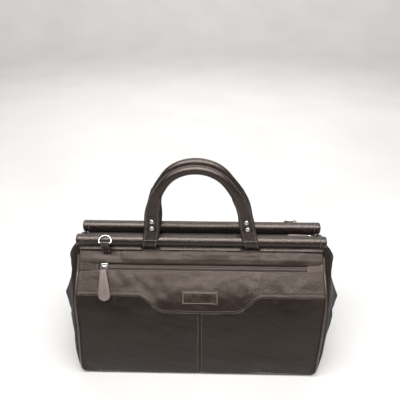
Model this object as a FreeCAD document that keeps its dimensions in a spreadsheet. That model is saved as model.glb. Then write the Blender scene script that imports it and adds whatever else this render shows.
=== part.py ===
import FreeCAD, Part
import math
import os
from types import SimpleNamespace

import Sketcher

# A soft leather doctor bag. X runs along the bag, Y from front to back, Z up.
# The origin is the middle of the base on the floor. Lengths are millimetres, angles degrees.

SIZES = {
    # Side profile of the front and back panels: distance out from the middle, and height.
    "base_out": 105.0, "base_up": 4.0,
    "low_out": 103.0, "low_up": 60.0,
    "knee_out": 99.5, "knee_up": 105.0,
    "crease_out": 93.0, "crease_up": 150.0,
    "shoulder_out": 82.0, "shoulder_up": 179.0,
    "slope_out": 60.0, "slope_up": 203.0,
    "ziplow_out": 51.0, "ziplow_up": 210.5,
    "ziphigh_out": 42.0, "ziphigh_up": 221.5,
    "neck_out": 32.0, "neck_up": 236.0,
    "flange_out": 24.5, "flange_up": 245.4,
    # Leather and the gaps between pieces.
    "leather": 3.0, "lining": 1.2, "slit": 0.3, "fit": 0.02,
    "panel_half": 219.8, "piping_size": 4.4, "piping_proud": 0.8,
    # Half widths of the end gussets at each height: on the bulge beside the piping, and on the ridge.
    "bulge_place": 0.76,
    "base_bulge": 232.0, "base_ridge": 236.0,
    "low_bulge": 240.0, "low_ridge": 262.0,
    "knee_bulge": 241.0, "knee_ridge": 279.0,
    "crease_bulge": 238.0, "crease_ridge": 261.0,
    "shoulder_bulge": 235.0, "shoulder_ridge": 253.0,
    "slope_bulge": 232.0, "slope_ridge": 253.0,
    "neck_bulge": 226.6, "neck_ridge": 230.0,
    # Base.
    "foot_radius": 9.0, "foot_height": 4.0, "foot_in": 28.0, "board_thick": 3.0,
    # Rolls along the mouth.
    "roll_out": 22.5, "roll_up": 257.5, "roll_radius": 11.0, "rod_radius": 6.0, "roll_half": 224.0,
    "band_thick": 1.6,
    # Closing zip between the rolls.
    "tape_up": 245.0, "tape_thick": 1.2, "tape_half": 216.0, "tape_inner": 0.6, "tape_outer": 21.4,
    "topslider_length": 13.0, "topslider_half": 5.0, "topslider_start": 196.0, "pin_radius": 1.0,
    "toppull_length": 42.0, "toppull_width": 12.0, "toppull_thick": 2.4,
    "endtab_length": 12.0, "endtab_half": 10.5, "endtab_thick": 2.4, "endtab_up": 249.0,
    "toppin_rise": 2.4, "toppin_in": 6.5, "topslider_rise": 5.6, "toplink_half": 2.0,
    # Pocket zip on the front: its middle, and the slope that it lies on.
    "zip_out": 46.5, "zip_up": 216.0, "zip_slope": 50.7,
    "ziptape_half": 8.5, "ziptape_thick": 1.2, "ziptape_reach": 205.0,
    "teeth_half": 2.6, "teeth_thick": 2.0,
    "slider_length": 14.0, "slider_half": 5.6, "slider_start": -181.0, "slider_pin": 5.6,
    "slider_low": 0.9, "slider_plate": 2.0, "ear_thick": 2.4, "ear_half": 1.6,
    "wedge_length": 3.0, "wedge_half": 1.2, "wedge_low": -1.6,
    "righttab_start": 191.0, "lefttab_end": 183.0, "tab_half": 8.4, "tab_thick": 1.8,
    "bag_start": -168.0, "bag_end": 188.0, "bag_thick": 2.4,
    "puller_length": 58.0, "puller_top": 12.0, "puller_bottom": 20.0, "puller_thick": 4.0,
    "puller_hang": 41.0, "link_width": 6.0, "link_length": 9.0,
    # Name patch.
    "patch_half": 33.0, "patch_low": 7.0, "patch_high": 28.5, "patch_thick": 1.2,
    # D-rings, one at the front left and one at the back right.
    "dring_place": 170.0, "dring_width": 25.0, "dring_wire": 1.4, "dring_depth": 13.4,
    "dring_out": 37.0, "dring_up": 261.0, "dring_lean": 45.0, "dtab_width": 19.0, "dtab_thick": 1.5,
    # Handles: a round grip whose flat ends loop round the roll.
    "grip_radius": 8.0, "arch_radius": 73.0, "arch_rise": 64.0, "arch_flare": 13.3,
    "loop_clear": 0.3, "notch_clear": 0.6,
    "strap_width": 26.0, "strap_thick": 3.0, "strap_top": 78.0, "strap_neck": 21.0,
    "front_lean": 4.6, "back_lean": 2.5,
    "rivet_radius": 5.0, "rivet_height": 2.0, "rivet_low": 26.0, "rivet_step": 14.0,
}


class Size:
    """A number together with the spreadsheet expression that gives it."""

    def __init__(self, value, text):
        self.value = value
        self.text = text

    def __add__(self, other):
        other = size(other)
        return Size(self.value + other.value, f"({self.text} + {other.text})")

    def __sub__(self, other):
        other = size(other)
        return Size(self.value - other.value, f"({self.text} - {other.text})")

    def __mul__(self, other):
        other = size(other)
        return Size(self.value * other.value, f"({self.text} * {other.text})")

    def __neg__(self):
        return self * -1.0


def size(number):
    """A plain number as a Size."""
    if isinstance(number, Size):
        return number
    return Size(float(number), f"({float(number)})")


def cosine(angle):
    return Size(math.cos(math.radians(angle.value)), f"cos({angle.text})")


def sine(angle):
    return Size(math.sin(math.radians(angle.value)), f"sin({angle.text})")


def tangent(angle):
    return Size(math.tan(math.radians(angle.value)), f"tan({angle.text})")


doc = FreeCAD.newDocument("doctor_bag")
sheet = doc.addObject("Spreadsheet::Sheet", "Sheet")
for row, (name, number) in enumerate(SIZES.items(), start=1):
    sheet.set(f"A{row}", name)
    sheet.set(f"B{row}", str(number))
    sheet.setAlias(f"B{row}", name)
doc.recompute()
d = SimpleNamespace(**{name: Size(number, f"Sheet.{name}") for name, number in SIZES.items()})

FRONT = -1.0
BACK = 1.0
ORIGIN = (-1, 1)
X_AXIS = -1
Y_AXIS = -2
pieces = []


def new_body(label):
    """A PartDesign body that becomes one file."""
    body = doc.addObject("PartDesign::Body", label)
    body.Label = label
    pieces.append(body)
    return body


def new_sketch(body, plane, offset=None):
    """A sketch on one of the body's own planes, moved along the plane's normal by offset."""
    sketch = body.newObject("Sketcher::SketchObject", f"{body.Name}_sketch")
    role = next(item for item in body.Origin.OriginFeatures if item.Role == plane)
    sketch.AttachmentSupport = [(role, "")]
    sketch.MapMode = "FlatFace"
    if offset is not None:
        sketch.setExpression("AttachmentOffset.Base.z", offset.text)
    return sketch


def fix_point(sketch, curve, end, across, along):
    """Hold one end of a curve at a place given by two sizes."""
    for kind, axis, place in (("DistanceX", Y_AXIS, across), ("DistanceY", X_AXIS, along)):
        if place.value == 0.0:
            sketch.addConstraint(Sketcher.Constraint("PointOnObject", curve, end, axis))
        else:
            held = sketch.addConstraint(Sketcher.Constraint(kind, *ORIGIN, curve, end, place.value))
            sketch.setExpression(f"Constraints[{held}]", place.text)


def draw_outline(sketch, corners):
    """A closed outline of straight edges through the corners."""
    corners = [(size(across), size(along)) for across, along in corners]
    spots = [FreeCAD.Vector(across.value, along.value, 0) for across, along in corners]
    for start, stop in zip(spots, spots[1:] + spots[:1]):
        sketch.addGeometry(Part.LineSegment(start, stop), False)
    count = len(corners)
    for edge in range(count):
        sketch.addConstraint(Sketcher.Constraint("Coincident", edge, 2, (edge + 1) % count, 1))
    for edge, (across, along) in enumerate(corners):
        fix_point(sketch, edge, 1, across, along)


def draw_circle(sketch, across, along, radius):
    """A circle with its middle and radius held."""
    across, along = size(across), size(along)
    middle = FreeCAD.Vector(across.value, along.value, 0)
    circle = sketch.addGeometry(Part.Circle(middle, FreeCAD.Vector(0, 0, 1), radius.value), False)
    fix_point(sketch, circle, 3, across, along)
    held = sketch.addConstraint(Sketcher.Constraint("Radius", circle, radius.value))
    sketch.setExpression(f"Constraints[{held}]", radius.text)


def pad(body, sketch, length, both_ways=False):
    """Give a sketch a thickness along its normal."""
    feature = body.newObject("PartDesign::Pad", f"{body.Name}_pad")
    feature.Profile = sketch
    feature.SideType = "Symmetric" if both_ways else "One side"
    feature.setExpression("Length", length.text)
    return feature


def put(body, x=None, y=None, z=None, turn=None):
    """Move a body, and turn it about X."""
    for axis, place in (("x", x), ("y", y), ("z", z)):
        if place is not None:
            body.setExpression(f"Placement.Base.{axis}", size(place).text)
    if turn is not None:
        body.Placement.Rotation = FreeCAD.Rotation(FreeCAD.Vector(1, 0, 0), turn.value)
        body.setExpression("Placement.Rotation.Angle", turn.text)


def strip(label, outline, start, length):
    """A side outline drawn across the bag and run along X from start."""
    body = new_body(label)
    sketch = new_sketch(body, "YZ_Plane")
    draw_outline(sketch, outline)
    pad(body, sketch, length)
    put(body, x=start)
    return body


# ---------------------------------------------------------------- side profile

PROFILE = ["base", "low", "knee", "crease", "shoulder", "slope", "ziplow", "ziphigh", "neck", "flange"]


def station(name):
    """A named point of the side profile."""
    return getattr(d, f"{name}_out"), getattr(d, f"{name}_up")


def inward(name):
    """The unit direction into the bag at a point of the profile."""
    place = PROFILE.index(name)
    before = station(PROFILE[max(place - 1, 0)])
    after = station(PROFILE[min(place + 1, len(PROFILE) - 1)])
    run = before[0].value - after[0].value
    rise = after[1].value - before[1].value
    reach = math.hypot(run, rise)
    return rise / reach, run / reach


def skin(side, name, depth, lift=0.0):
    """A point at a depth below the outer face of the front or back."""
    out, up = station(name)
    sideways, down = inward(name)
    depth = size(depth)
    return (out - depth * sideways) * side, up - depth * down + lift


def panel_outline(side, names, outer, inner, first_lift=0.0, last_lift=0.0):
    """The outline of a skin between two depths, through named points of the profile."""
    lifts = [first_lift] + [0.0] * (len(names) - 2) + [last_lift]
    points = list(zip(names, lifts))
    near = [skin(side, name, outer, lift) for name, lift in points]
    far = [skin(side, name, inner, lift) for name, lift in reversed(points)]
    return near + far


LOWER = ["base", "low", "knee", "crease"]
YOKE = ["crease", "shoulder", "slope", "ziplow"]
TOP = ["ziphigh", "neck", "flange"]


# ---------------------------------------------------------------- base and lower shell

def make_base():
    """Leather base with a stiff board in it, on four feet."""
    corner_y = d.base_out - d.leather - 0.3
    edge = d.panel_half + d.piping_size
    body = new_body("base_panel")
    sketch = new_sketch(body, "XY_Plane", d.base_up)
    quarter = [(edge, corner_y), (d.base_bulge, corner_y * d.bulge_place), (d.base_ridge, size(0))]
    right = [(x, -y) for x, y in quarter] + [(x, y) for x, y in reversed(quarter[:2])]
    left = [(-x, y) for x, y in quarter] + [(-x, -y) for x, y in reversed(quarter[:2])]
    draw_outline(sketch, right + left)
    pad(body, sketch, d.leather)

    board = new_body("base_board")
    sketch = new_sketch(board, "XY_Plane", d.base_up + d.leather)
    half_x = d.panel_half - 1.0
    half_y = corner_y - 1.0
    draw_outline(sketch, [(-half_x, -half_y), (half_x, -half_y), (half_x, half_y), (-half_x, half_y)])
    pad(board, sketch, d.board_thick)

    for end, x_sign in (("left", -1.0), ("right", 1.0)):
        for face, side in (("front", FRONT), ("back", BACK)):
            foot = doc.addObject("Part::Cone", f"foot_{face}_{end}")
            foot.Label = f"foot_{face}_{end}"
            foot.setExpression("Radius1", (d.foot_radius * 0.8).text)
            foot.setExpression("Radius2", d.foot_radius.text)
            foot.setExpression("Height", d.foot_height.text)
            put(foot, x=(d.panel_half - d.foot_in) * x_sign, y=(d.base_out - d.foot_in) * side)
            pieces.append(foot)


def make_lower_panels():
    """Two front panels that meet at a centre seam, and one at the back."""
    front = panel_outline(FRONT, LOWER, 0, d.leather, last_lift=-d.slit)
    strip("front_lower_panel_left", front, -d.panel_half, d.panel_half)
    strip("front_lower_panel_right", front, 0, d.panel_half)
    back = panel_outline(BACK, LOWER, 0, d.leather, last_lift=-d.slit)
    strip("back_lower_panel", back, -d.panel_half, d.panel_half * 2)


def make_lining():
    """Cloth lining inside the lower shell, open at the top."""
    outer = d.leather + d.slit
    inner = outer + d.lining
    floor = d.base_up + d.leather + d.board_thick
    lift = floor - d.base_up + outer * inward("base")[1] + d.fit

    def wall(side, depth):
        names = LOWER[1:]
        lifts = [size(0)] * 2 + [-d.slit]
        rise = [skin(side, name, depth, up) for name, up in zip(names, lifts)]
        return [skin(side, "base", depth, lift)] + rise

    front_out, back_out = wall(FRONT, outer), wall(BACK, outer)
    front_in, back_in = wall(FRONT, inner), wall(BACK, inner)
    front_in[0] = (front_in[0][0], front_in[0][1] + d.lining)
    back_in[0] = (back_in[0][0], back_in[0][1] + d.lining)
    outline = list(reversed(front_out)) + back_out + list(reversed(back_in)) + front_in
    strip("lining", outline, -d.panel_half + 1.0, d.panel_half * 2 - 2.0)


def make_gussets():
    """Soft ends that bulge out to a ridge in the middle, in a front and a back half each."""
    levels = ["base", "low", "knee", "crease", "shoulder", "slope", "neck"]
    edge = d.panel_half + d.piping_size + d.slit
    for end, x_sign in (("left", -1.0), ("right", 1.0)):
        for face, side in (("front", FRONT), ("back", BACK)):
            body = new_body(f"gusset_{face}_{end}")
            sections = []
            for name in levels:
                out, up = station(name)
                if name == "base":
                    up = up + d.leather
                    out = out - d.leather - 0.3
                bulge = getattr(d, f"{name}_bulge")
                ridge = getattr(d, f"{name}_ridge")
                bulge_y = out * d.bulge_place * side
                thick = d.leather
                sketch = new_sketch(body, "XY_Plane", up)
                draw_outline(sketch, [
                    (edge * x_sign, out * side),
                    (bulge * x_sign, bulge_y),
                    (ridge * x_sign, size(0)),
                    ((ridge - thick * 1.2) * x_sign, size(0)),
                    ((bulge - thick) * x_sign, bulge_y - thick * (0.8 * side)),
                    (edge * x_sign, (out - thick * 1.6) * side),
                ])
                sections.append(sketch)
            loft = body.newObject("PartDesign::AdditiveLoft", f"{body.Name}_loft")
            loft.Profile = sections[0]
            loft.Sections = sections[1:]
            loft.Ruled = True


def make_piping():
    """Raised piping down both edges of the front and back, in a lower and an upper length."""
    inner = d.piping_size - d.piping_proud
    upper_names = YOKE + TOP[:2]
    for end, start in (("left", -(d.panel_half + d.piping_size)), ("right", d.panel_half)):
        for face, side in (("front", FRONT), ("back", BACK)):
            lower = panel_outline(side, LOWER, -d.piping_proud, inner, d.leather + 0.6, -d.slit)
            strip(f"piping_lower_{face}_{end}", lower, start, d.piping_size)
            upper = panel_outline(side, upper_names, -d.piping_proud, inner, d.slit, 0.0)
            strip(f"piping_upper_{face}_{end}", upper, start, d.piping_size)


# ---------------------------------------------------------------- upper panels and rolls

def notch_loops(body, side, start):
    """Cut a piece that begins at start clear of the two handle loops."""
    reach = d.roll_radius + d.loop_clear + d.strap_thick + d.notch_clear
    half = d.strap_width * 0.5 + 1.0
    for middle in (-1.0, 1.0):
        sketch = new_sketch(body, "YZ_Plane", loop_middle() * middle - half - start)
        draw_circle(sketch, d.roll_out * side, d.roll_up, reach)
        cut = body.newObject("PartDesign::Pocket", f"{body.Name}_notch")
        cut.Profile = sketch
        cut.Reversed = True
        cut.setExpression("Length", (half * 2).text)


def loop_middle():
    """Distance from the centre of the bag to the middle of a handle loop."""
    drop = d.arch_rise + d.arch_radius * sine(d.arch_flare)
    return d.arch_radius * cosine(d.arch_flare) + drop * tangent(d.arch_flare)


def make_upper_panels():
    """The panels above the crease, which carry the rolls and open outwards with them."""
    width = d.panel_half * 2
    yoke = panel_outline(FRONT, YOKE, 0, d.leather, first_lift=d.slit)
    strip("front_yoke", yoke, -d.panel_half, width)
    top = strip("front_top_panel", panel_outline(FRONT, TOP, 0, d.leather), -d.panel_half, width)
    notch_loops(top, FRONT, -d.panel_half)
    whole = panel_outline(BACK, YOKE + TOP, 0, d.leather, first_lift=d.slit)
    back = strip("back_upper_panel", whole, -d.panel_half, width)
    notch_loops(back, BACK, -d.panel_half)


def make_rolls():
    """A steel rod in a thick leather roll along each side of the mouth, with a stitched band below."""
    for face, side in (("front", FRONT), ("back", BACK)):
        cover = new_body(f"{face}_roll_cover")
        sketch = new_sketch(cover, "YZ_Plane")
        draw_circle(sketch, d.roll_out * side, d.roll_up, d.roll_radius)
        draw_circle(sketch, d.roll_out * side, d.roll_up, d.rod_radius)
        pad(cover, sketch, d.roll_half * 2)
        put(cover, x=-d.roll_half)

        rod = new_body(f"{face}_roll_rod")
        sketch = new_sketch(rod, "YZ_Plane")
        draw_circle(sketch, d.roll_out * side, d.roll_up, d.rod_radius - d.fit)
        rod_half = d.roll_half - 4.0
        pad(rod, sketch, rod_half * 2)
        put(rod, x=-rod_half)

        outline = panel_outline(side, TOP[1:], -d.band_thick, -0.05)
        band = strip(f"{face}_band", outline, -d.panel_half, d.panel_half * 2)
        notch_loops(band, side, -d.panel_half)


def make_top_zip():
    """The zip tapes between the rolls, and the leather tab at each end of the zip."""
    for face, side in (("front", FRONT), ("back", BACK)):
        outer = d.tape_outer * side
        inner = d.tape_inner * side
        low, high = d.tape_up, d.tape_up + d.tape_thick
        outline = [(outer, low), (inner, low), (inner, high), (outer, high)]
        tape = strip(f"top_zip_tape_{face}", outline, -d.tape_half, d.tape_half * 2)
        notch_loops(tape, side, -d.tape_half)
    low = d.endtab_up
    high = low + d.endtab_thick
    half = d.endtab_half
    near = d.tape_half + d.slit
    for end, start in (("left", -(near + d.endtab_length)), ("right", near)):
        outline = [(-half, low), (half, low), (half, high), (-half, high)]
        strip(f"top_zip_end_{end}", outline, start, d.endtab_length)


# ---------------------------------------------------------------- pocket zip on the front

def zip_point(along, above):
    """A point by the pocket zip: along goes up the slope, above goes out of the face."""
    along, above = size(along), size(above)
    out = d.zip_out - along * cosine(d.zip_slope) + above * sine(d.zip_slope)
    up = d.zip_up + along * sine(d.zip_slope) + above * cosine(d.zip_slope)
    return -out, up


def zip_block(half, low, high):
    """A block's outline that straddles the pocket zip."""
    return [zip_point(-half, low), zip_point(half, low), zip_point(half, high), zip_point(-half, high)]


def make_pocket():
    """Tapes, teeth, leather end tabs and the flat bag behind the front panel."""
    under = -d.leather - 0.8
    tape = zip_block(d.ziptape_half, under - d.ziptape_thick, under)
    strip("pocket_zip_tape", tape, -d.ziptape_reach, d.ziptape_reach * 2)
    teeth = zip_block(d.teeth_half, under, under + d.teeth_thick)
    strip("pocket_zip_teeth", teeth, -d.ziptape_reach, d.ziptape_reach * 2)
    tab = zip_block(d.tab_half, 0.5, d.tab_thick + 0.5)
    strip("pocket_end_tab_left", tab, -d.panel_half, d.panel_half - d.lefttab_end)
    strip("pocket_end_tab_right", tab, d.righttab_start, d.panel_half - d.righttab_start)
    near = d.leather + 0.4
    bag = panel_outline(FRONT, YOKE[:3], near, near + d.bag_thick, first_lift=d.slit * 2)
    strip("pocket_bag", bag, d.bag_start, d.bag_end - d.bag_start)


def make_patch():
    """Sewn name patch on the yoke."""
    out, up = station("crease")
    top_out, top_up = station("shoulder")
    run = (out.value - top_out.value) / (top_up.value - up.value)

    def face(lift, proud):
        return -(out - lift * run + proud), up + lift

    near, far = size(0.1), d.patch_thick + 0.1
    inner = [face(d.patch_low, near), face(d.patch_high, near)]
    outer = [face(d.patch_high, far), face(d.patch_low, far)]
    outline = inner + outer
    strip("name_patch", outline, -d.patch_half, d.patch_half * 2)


# ---------------------------------------------------------------- sliders and pullers

def make_pocket_slider():
    """Zip slider whose bridge carries a pin for the pull."""
    body = new_body("pocket_slider")
    sketch = new_sketch(body, "YZ_Plane")
    pin_y, pin_z = zip_point(0, d.slider_pin)
    plate_top = d.slider_low + d.slider_plate
    draw_outline(sketch, zip_block(d.slider_half, d.slider_low, plate_top))
    pad(body, sketch, d.slider_length)
    for start in (size(1.0), d.slider_length - d.ear_thick - 1.0):
        ear = new_sketch(body, "YZ_Plane", start)
        draw_outline(ear, zip_block(d.ear_half, plate_top - 0.1, d.slider_pin + d.ear_half))
        pad(body, ear, d.ear_thick)
    pin = new_sketch(body, "YZ_Plane", size(1.2))
    draw_circle(pin, pin_y, pin_z, d.pin_radius)
    pad(body, pin, d.slider_length - 2.4)
    wedge = new_sketch(body, "YZ_Plane", (d.slider_length - d.wedge_length) * 0.5)
    draw_outline(wedge, zip_block(d.wedge_half, d.wedge_low, d.slider_low + 0.1))
    pad(body, wedge, d.wedge_length)
    put(body, x=d.slider_start)


def make_pull(label, width_top, width_bottom, length, thick, place, turn, x):
    """A metal link round the slider's pin, and the leather pull that hangs from it."""
    link = new_body(f"{label}_link")
    sketch = new_sketch(link, "YZ_Plane", d.link_width * -0.5)
    draw_circle(sketch, 0, 0, d.pin_radius + 1.2)
    draw_circle(sketch, 0, 0, d.pin_radius + 0.1)
    pad(link, sketch, d.link_width)
    tongue = new_sketch(link, "XZ_Plane")
    half = d.link_width * 0.5
    top = -(d.pin_radius + 0.6)
    draw_outline(tongue, [(-half, top), (half, top), (half, -d.link_length), (-half, -d.link_length)])
    pad(link, tongue, d.pin_radius * 1.4, both_ways=True)
    put(link, x=x, y=place[0], z=place[1], turn=turn)

    leather = new_body(f"{label}_leather")
    sketch = new_sketch(leather, "XZ_Plane")
    start = -d.link_length - d.fit
    top_half, bottom_half = width_top * 0.5, width_bottom * 0.5
    chamfer = bottom_half * 0.45
    draw_outline(sketch, [
        (-top_half, start), (top_half, start),
        (bottom_half, -length + chamfer), (bottom_half - chamfer, -length),
        (-bottom_half + chamfer, -length), (-bottom_half, -length + chamfer),
    ])
    pad(leather, sketch, thick, both_ways=True)
    put(leather, x=x, y=place[0], z=place[1], turn=turn)


def make_pocket_pull():
    """The long pull on the front pocket, hanging down the face."""
    middle = d.slider_start + d.slider_length * 0.5
    place = zip_point(0, d.slider_pin)
    make_pull("pocket_pull", d.puller_top, d.puller_bottom, d.puller_length, d.puller_thick,
              place, -d.puller_hang, middle)


def make_top_slider():
    """Slider of the closing zip. It grips the front tape and reaches over the back one."""
    body = new_body("top_slider")
    half = d.topslider_half
    low, high = d.tape_up - 1.8, d.tape_up + d.tape_thick + d.topslider_rise
    roof = high - 1.6
    inner_low, inner_high = d.tape_up - 0.6, d.tape_up + d.tape_thick + 0.6
    wall = d.tape_inner * 0.5
    ear_near, ear_far = d.toppin_in - 3.5, d.toppin_in + 3.5
    sketch = new_sketch(body, "YZ_Plane")
    draw_outline(sketch, [
        (-half, low), (wall, low), (wall, roof), (half, roof), (half, high), (-half, high),
        (-half, inner_high), (-wall, inner_high), (-wall, inner_low), (-half, inner_low),
    ])
    pad(body, sketch, d.topslider_length)
    pin_z = high + d.toppin_rise
    ear_top = pin_z + d.pin_radius + 0.4
    for near in (-half + 0.4, half - 0.4 - d.ear_thick):
        ear = new_sketch(body, "XZ_Plane", -(near + d.ear_thick))
        draw_outline(ear, [(ear_near, roof), (ear_far, roof), (ear_far, ear_top), (ear_near, ear_top)])
        pad(body, ear, d.ear_thick)
    pin = new_sketch(body, "XZ_Plane")
    draw_circle(pin, d.toppin_in, pin_z, d.pin_radius)
    pad(body, pin, half * 2 - 1.0, both_ways=True)
    put(body, x=d.topslider_start)


def make_top_pull():
    """The pull of the closing zip. It lies flat along the zip towards the left."""
    pin_x = d.topslider_start + d.toppin_in
    pin_z = d.tape_up + d.tape_thick + d.topslider_rise + d.toppin_rise
    link = new_body("top_pull_link")
    sketch = new_sketch(link, "XZ_Plane")
    draw_circle(sketch, 0, 0, d.pin_radius + 1.2)
    draw_circle(sketch, 0, 0, d.pin_radius + 0.1)
    pad(link, sketch, d.toplink_half * 2, both_ways=True)
    tongue = new_sketch(link, "XY_Plane")
    near, far, half = -(d.pin_radius + 0.6), -d.link_length, d.toplink_half
    draw_outline(tongue, [(near, -half), (far, -half), (far, half), (near, half)])
    pad(link, tongue, d.pin_radius * 1.4, both_ways=True)
    put(link, x=pin_x, z=pin_z)

    leather = new_body("top_pull_leather")
    sketch = new_sketch(leather, "XY_Plane")
    start = -d.link_length - d.fit
    half = d.toppull_width * 0.5
    chamfer = half * 0.45
    draw_outline(sketch, [
        (start, -half * 0.8), (start, half * 0.8), (-d.toppull_length + chamfer, half),
        (-d.toppull_length, half - chamfer), (-d.toppull_length, -half + chamfer),
        (-d.toppull_length + chamfer, -half),
    ])
    pad(leather, sketch, d.toppull_thick, both_ways=True)
    put(leather, x=pin_x, z=pin_z)


# ---------------------------------------------------------------- D-rings

def make_d_rings():
    """Wire D-rings that lean on the rolls, each held by a leather tab round its bar."""
    for face, side, x_sign in (("front", FRONT, -1.0), ("back", BACK, 1.0)):
        ring = new_body(f"{face}_d_ring")
        half = d.dring_width * 0.5 - d.dring_wire
        bow = half
        leg = d.dring_depth - bow
        path = new_sketch(ring, "XZ_Plane")
        left, right = FreeCAD.Vector(-half.value, 0, 0), FreeCAD.Vector(half.value, 0, 0)
        rise = FreeCAD.Vector(0, leg.value, 0)
        edges = [Part.LineSegment(left, right), Part.LineSegment(right, right + rise),
                 Part.ArcOfCircle(Part.Circle(rise, FreeCAD.Vector(0, 0, 1), bow.value), 0, math.pi),
                 Part.LineSegment(left + rise, left)]
        for edge in edges:
            path.addGeometry(edge, False)
        for first, first_end, second, second_end in ((0, 2, 1, 1), (1, 2, 2, 1), (2, 2, 3, 1), (3, 2, 0, 1)):
            path.addConstraint(Sketcher.Constraint("Coincident", first, first_end, second, second_end))
        fix_point(path, 0, 1, -half, size(0))
        fix_point(path, 0, 2, half, size(0))
        fix_point(path, 1, 2, half, leg)
        fix_point(path, 2, 3, size(0), leg)
        held = path.addConstraint(Sketcher.Constraint("DistanceY", *ORIGIN, 3, 1, leg.value))
        path.setExpression(f"Constraints[{held}]", leg.text)
        wire = new_sketch(ring, "YZ_Plane")
        draw_circle(wire, 0, 0, d.dring_wire)
        pipe = ring.newObject("PartDesign::AdditivePipe", f"{ring.Name}_pipe")
        pipe.Profile = wire
        pipe.Spine = (path, [])
        pipe.Transition = "Right corner"
        put(ring, x=d.dring_place * x_sign, y=d.dring_out * side, z=d.dring_up, turn=d.dring_lean * side)

        tab = new_body(f"{face}_d_tab")
        inner = d.dring_wire + 0.1
        outer = inner + d.dtab_thick
        sketch = new_sketch(tab, "YZ_Plane")
        draw_circle(sketch, d.dring_out * side, d.dring_up, outer)
        draw_circle(sketch, d.dring_out * side, d.dring_up, inner)
        pad(tab, sketch, d.dtab_width)
        face_out, foot_up = d.dring_out + inner, d.neck_up + 1.0
        foot_out = d.neck_out + d.band_thick + 0.6
        tail = new_sketch(tab, "YZ_Plane")
        draw_outline(tail, [
            (face_out * side, d.dring_up), ((face_out + d.dtab_thick) * side, d.dring_up),
            ((foot_out + d.dtab_thick) * side, foot_up), (foot_out * side, foot_up),
        ])
        pad(tab, tail, d.dtab_width)
        put(tab, x=d.dring_place * x_sign - d.dtab_width * 0.5)


# ---------------------------------------------------------------- handles

def make_handle(face, side, lean):
    """An arched grip whose two flat ends loop round the roll and are riveted."""
    turn = lean * side
    middle = loop_middle()
    slant = tangent(d.arch_flare)
    clear = d.roll_radius + d.loop_clear
    bottom = clear + d.strap_thick * 0.5
    half = d.strap_width * 0.5
    neck = d.strap_neck * 0.5
    for end, x_sign in (("left", -1.0), ("right", 1.0)):
        loop = new_body(f"{face}_handle_loop_{end}")
        ring = new_sketch(loop, "YZ_Plane", middle * x_sign - half)
        draw_circle(ring, 0, 0, clear + d.strap_thick)
        draw_circle(ring, 0, 0, clear)
        pad(loop, ring, d.strap_width)
        stem = new_sketch(loop, "XZ_Plane")
        low = (middle - bottom * slant) * x_sign
        wide_up = d.strap_top * 0.86
        wide = (middle - wide_up * slant) * x_sign
        top = (middle - d.strap_top * slant) * x_sign
        draw_outline(stem, [
            (low - half, bottom), (low + half, bottom), (wide + half * 0.94, wide_up),
            (top + neck, d.strap_top), (top - neck, d.strap_top), (wide - half * 0.94, wide_up),
        ])
        pad(loop, stem, d.strap_thick * 2, both_ways=True)
        put(loop, y=d.roll_out * side, z=d.roll_up, turn=turn)

    grip = new_body(f"{face}_handle_grip")
    foot_z = d.strap_top - d.grip_radius * 0.5
    foot_x = middle - foot_z * slant
    bend_x = d.arch_radius * cosine(d.arch_flare)
    bend_z = d.arch_rise + d.arch_radius * sine(d.arch_flare)
    path = new_sketch(grip, "XZ_Plane")
    foot = FreeCAD.Vector(foot_x.value, foot_z.value, 0)
    bend = FreeCAD.Vector(bend_x.value, bend_z.value, 0)
    other_foot = FreeCAD.Vector(-foot.x, foot.y, 0)
    other_bend = FreeCAD.Vector(-bend.x, bend.y, 0)
    arch = Part.Circle(FreeCAD.Vector(0, d.arch_rise.value, 0), FreeCAD.Vector(0, 0, 1), d.arch_radius.value)
    flare = math.radians(d.arch_flare.value)
    path.addGeometry(Part.LineSegment(foot, bend), False)
    path.addGeometry(Part.ArcOfCircle(arch, flare, math.pi - flare), False)
    path.addGeometry(Part.LineSegment(other_bend, other_foot), False)
    path.addConstraint(Sketcher.Constraint("Coincident", 0, 2, 1, 1))
    path.addConstraint(Sketcher.Constraint("Coincident", 1, 2, 2, 1))
    fix_point(path, 0, 1, foot_x, foot_z)
    fix_point(path, 0, 2, bend_x, bend_z)
    fix_point(path, 1, 3, size(0), d.arch_rise)
    held = path.addConstraint(Sketcher.Constraint("DistanceX", *ORIGIN, 2, 1, -bend_x.value))
    path.setExpression(f"Constraints[{held}]", (-bend_x).text)
    fix_point(path, 2, 2, -foot_x, foot_z)
    section = new_sketch(grip, "XY_Plane", foot_z)
    draw_circle(section, foot_x, 0, d.grip_radius)
    pipe = grip.newObject("PartDesign::AdditivePipe", f"{grip.Name}_pipe")
    pipe.Profile = section
    pipe.Spine = (path, [])
    trim = new_sketch(grip, "XY_Plane", d.strap_top + d.fit)
    wide, deep = middle + d.grip_radius * 2, d.grip_radius * 2
    draw_outline(trim, [(-wide, -deep), (wide, -deep), (wide, deep), (-wide, deep)])
    cut = grip.newObject("PartDesign::Pocket", f"{grip.Name}_trim")
    cut.Profile = trim
    cut.setExpression("Length", (d.grip_radius * 2).text)
    put(grip, y=d.roll_out * side, z=d.roll_up, turn=turn)


def make_rivets(face, side, lean):
    """Domed rivet heads, two on each face of each end of a handle."""
    heads = []
    for x_sign in (-1.0, 1.0):
        for step in range(2):
            height = d.rivet_low + d.rivet_step * step
            across = (loop_middle() - height * tangent(d.arch_flare)) * x_sign
            for way in (-1.0, 1.0):
                head = doc.addObject("Part::Cone", f"{face}_rivet_head")
                head.setExpression("Radius1", d.rivet_radius.text)
                head.setExpression("Radius2", (d.rivet_radius * 0.45).text)
                head.setExpression("Height", d.rivet_height.text)
                put(head, x=across, y=d.strap_thick * way, z=height, turn=size(-90.0 * way))
                heads.append(head)
    rivets = doc.addObject("Part::Compound", f"{face}_handle_rivets")
    rivets.Label = f"{face}_handle_rivets"
    rivets.Links = heads
    put(rivets, y=d.roll_out * side, z=d.roll_up, turn=lean * side)
    pieces.append(rivets)


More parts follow.
